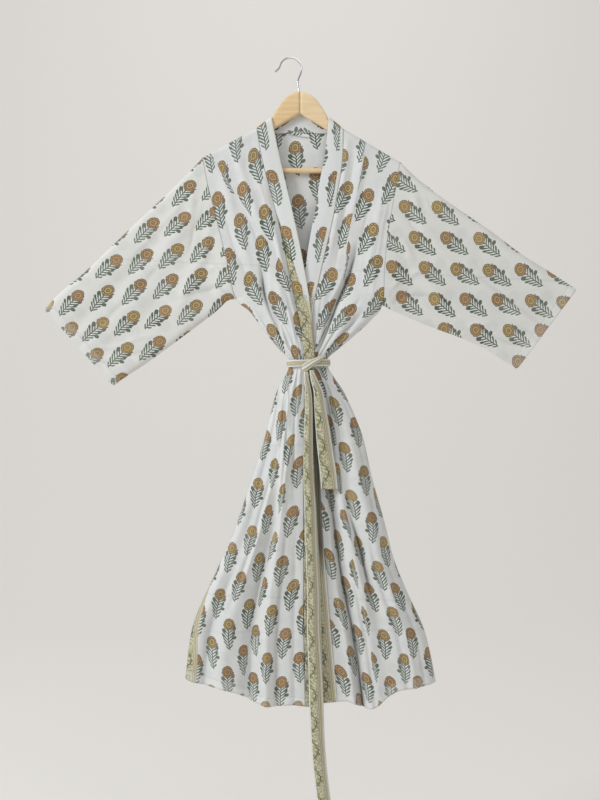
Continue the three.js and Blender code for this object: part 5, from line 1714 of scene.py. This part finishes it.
def neckband_material():
    material, shader, wire = start_material("neckband_cotton", MATT_COTTON)
    across, down = uv_in_mm(wire, "print")
    along, to_fold = uv_in_mm(wire, "edge")
    weave, crumple = weave_height(wire, across, down)
    on_right = 1 - along.above(0.0)
    turned = 1 - on_right * 2
    shift = on_right * 22 + 11
    vines = vine_print(wire, across + on_right * 17, down, BAND_WHITE)
    from_neck = along.abs()
    sliver = across - (from_neck - VINE_FROM) * VINE_WIDENS
    right_vine = sliver.step(1.5, -0.5) * on_right
    left_vine = from_neck.step(HIDDEN_FROM - 20, HIDDEN_FROM + 20)
    ground = right_vine.mix(CLOTH_WHITE, vines)
    flowers = flower_print(wire, across * turned + shift, (down * 0.87 + 30) * turned, ground)[0]
    shade = left_vine.mix(flowers, vines)
    strip = from_neck.step(*EDGE_WHITE_FADE) * (EDGE_WHITE[1] - EDGE_WHITE[0]) + EDGE_WHITE[0]
    edge_white = (to_fold - strip).step(0.8, -0.8) * on_right
    seam_white = across.step(SEAM_WHITE + 0.8, SEAM_WHITE - 0.8) * (1 - on_right)
    above_knot = from_neck.step(HIDDEN_FROM + 20, HIDDEN_FROM - 20)
    white = (edge_white + seam_white) * above_knot
    shade = (white * 0.92).mix(shade, BORDER_WHITE)
    (gap_shadow(wire) * 0.8).mix(shade, GAP_DARK).into(shader, "Base Color")
    bumped(weave + crumple * 2.0, 0.5, 0.001).into(shader, "Normal")
    return material


def gap_shadow(wire):
    """The deep fold behind the sash's two ends, where hardly any light comes in."""
    x, z = sideways_and_height(wire)
    middle = (GAP_TOP - z) * GAP_LEAN + GAP_FROM
    inside = (x - middle).abs().step(GAP_HALF + 1.5, GAP_HALF)
    return inside * z.step(GAP_END - 90, GAP_END) * z.step(GAP_TOP + 30, GAP_TOP)


neckband_strip.data.materials.append(neckband_material())
print("neckband print turns to border from", VINE_FROM, "mm")

# %% [markdown]
# ## The hanger
# Pale lacquered wood, in two arms that differ a little in tone, with a polished steel hook. The
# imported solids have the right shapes, so they keep them and get a material with grain.

# %% Wood and steel
GRAIN_SCALE = (14, 60, 130)
PORE_SCALE = (60, 300, 900)


def stretched_place(wire, scale):
    """Places along the arm count less than across it, so spots become long streaks."""
    return wire.node("ShaderNodeMapping", inputs={0: object_place(wire), "Scale": scale})


def wood_material(name, light, dark):
    lacquer = {"Roughness": 0.38, "Coat Weight": 0.35, "Coat Roughness": 0.2}
    material, shader, wire = start_material(name, lacquer)
    grain = noise(wire, stretched_place(wire, GRAIN_SCALE), 1.0, 4.0)
    fine = noise(wire, stretched_place(wire, PORE_SCALE), 1.0, 2.0)
    (grain.step(0.3, 0.75) * 0.7 + fine * 0.25).mix(light, dark).into(shader, "Base Color")
    bumped(grain + fine, 0.15, 0.0003).into(shader, "Normal")
    return material


def steel_material():
    material, shader, wire = start_material("hook_steel", {"Metallic": 1.0})
    haze = noise(wire, object_place(wire), 260.0, 3.0)
    (haze * 0.4).mix(colour(214, 216, 218), colour(178, 180, 184)).into(shader, "Base Color")
    (haze * 0.14 + 0.14).into(shader, "Roughness")
    return material


def dress_node(node, material):
    """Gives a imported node's object a better material, and leaves its shape alone."""
    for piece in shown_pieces():
        if piece.name.startswith(node):
            piece.data.materials.clear()
            piece.data.materials.append(material)


arm_wood = wood_material("pale_wood", colour(240, 212, 166), colour(224, 190, 138))
paler_wood = wood_material("paler_wood", colour(244, 220, 180), colour(230, 200, 152))
dress_node("hanger_arm_right", arm_wood)
dress_node("hanger_arm_left", paler_wood)
dress_node("hanger_bar", arm_wood)
dress_node("hanger_hook", steel_material())
print("hanger dressed")

# %% [markdown]
# The fronts and the back taper towards the gathered waist in the model, so their cut area is given
# too.

# %% [markdown]
# ## Stage and light
# A plain pale floor runs up into a curved wall far behind the robe. Most light comes from a window
# lamp on the left, low enough to show the folds. A weaker one hangs above, a third lights the wall,
# and the room itself gives the rest, as daylight in a pale room does.

# %% Stage
FLOOR_Z = -1.95
FLOOR_HALF = 14
FLOOR_FRONT = -9
WALL_Y = 5.2
WALL_TOP = 9
CURVE = 2.2
FLOOR_PAINT = colour(226, 223, 219)


def make_stage():
    shaper = bmesh.new()
    ends = [shaper.verts.new((side * FLOOR_HALF, FLOOR_FRONT, FLOOR_Z)) for side in (-1, 1)]
    edges = [shaper.edges.new(ends)]
    turns = np.radians(np.linspace(0, 90, 19))
    curve_y = WALL_Y - CURVE + CURVE * np.sin(turns)
    curve_z = FLOOR_Z + CURVE * (1 - np.cos(turns))
    last_y, last_z = FLOOR_FRONT, FLOOR_Z
    for y, z in [*zip(curve_y, curve_z), (WALL_Y, WALL_TOP)]:
        made = bmesh.ops.extrude_edge_only(shaper, edges=edges)["geom"]
        edges = [part for part in made if isinstance(part, bmesh.types.BMEdge)]
        verts = [part for part in made if isinstance(part, bmesh.types.BMVert)]
        bmesh.ops.translate(shaper, verts=verts, vec=(0, y - last_y, z - last_z))
        last_y, last_z = y, z
    bmesh.ops.recalc_face_normals(shaper, faces=shaper.faces)
    for face in shaper.faces:
        face.smooth = True
    mesh_data = bpy.data.meshes.new("floor")
    shaper.to_mesh(mesh_data)
    shaper.free()
    stage = bpy.data.objects.new("floor", mesh_data)
    bpy.context.collection.objects.link(stage)
    paint = {"Base Color": FLOOR_PAINT, "Roughness": 0.95, "Specular IOR Level": 0.1}
    glow = {"Emission Color": FLOOR_PAINT, "Emission Strength": 0.24}
    mesh_data.materials.append(start_material("floor_paint", {**paint, **glow})[0])
    return stage


stage = make_stage()


def make_lamp(name, place, aim, power, size, tint):
    lamp = bpy.data.objects.new(name, bpy.data.lights.new(name, "AREA"))
    bpy.context.collection.objects.link(lamp)
    lamp.data.energy = power
    lamp.data.size = size
    lamp.data.color = tint
    lamp.location = place
    lamp.rotation_euler = (Vector(aim) - Vector(place)).to_track_quat("-Z", "Y").to_euler()
    return lamp


make_lamp("window", (-3.4, -2.1, 0.9), (0, 0, -0.7), 96, 1.3, (0.93, 0.97, 1.0))
make_lamp("ceiling", (0.8, -1.6, 2.2), (0, 0, -0.7), 22, 2.0, (1.0, 0.985, 0.95))
make_lamp("wall", (0, 2.2, 4.0), (0, 5.2, 1.4), 32, 3.4, (1.0, 0.99, 0.97))
world = bpy.data.worlds.new("room")
bpy.context.scene.world = world
world.use_nodes = True
world.node_tree.nodes["Background"].inputs["Color"].default_value = colour(232, 233, 234)
world.node_tree.nodes["Background"].inputs["Strength"].default_value = 0.47
bpy.context.scene.view_settings.view_transform = "Standard"
print("lit by", len([o for o in bpy.data.objects if o.type == "LIGHT"]), "lamps and the room")
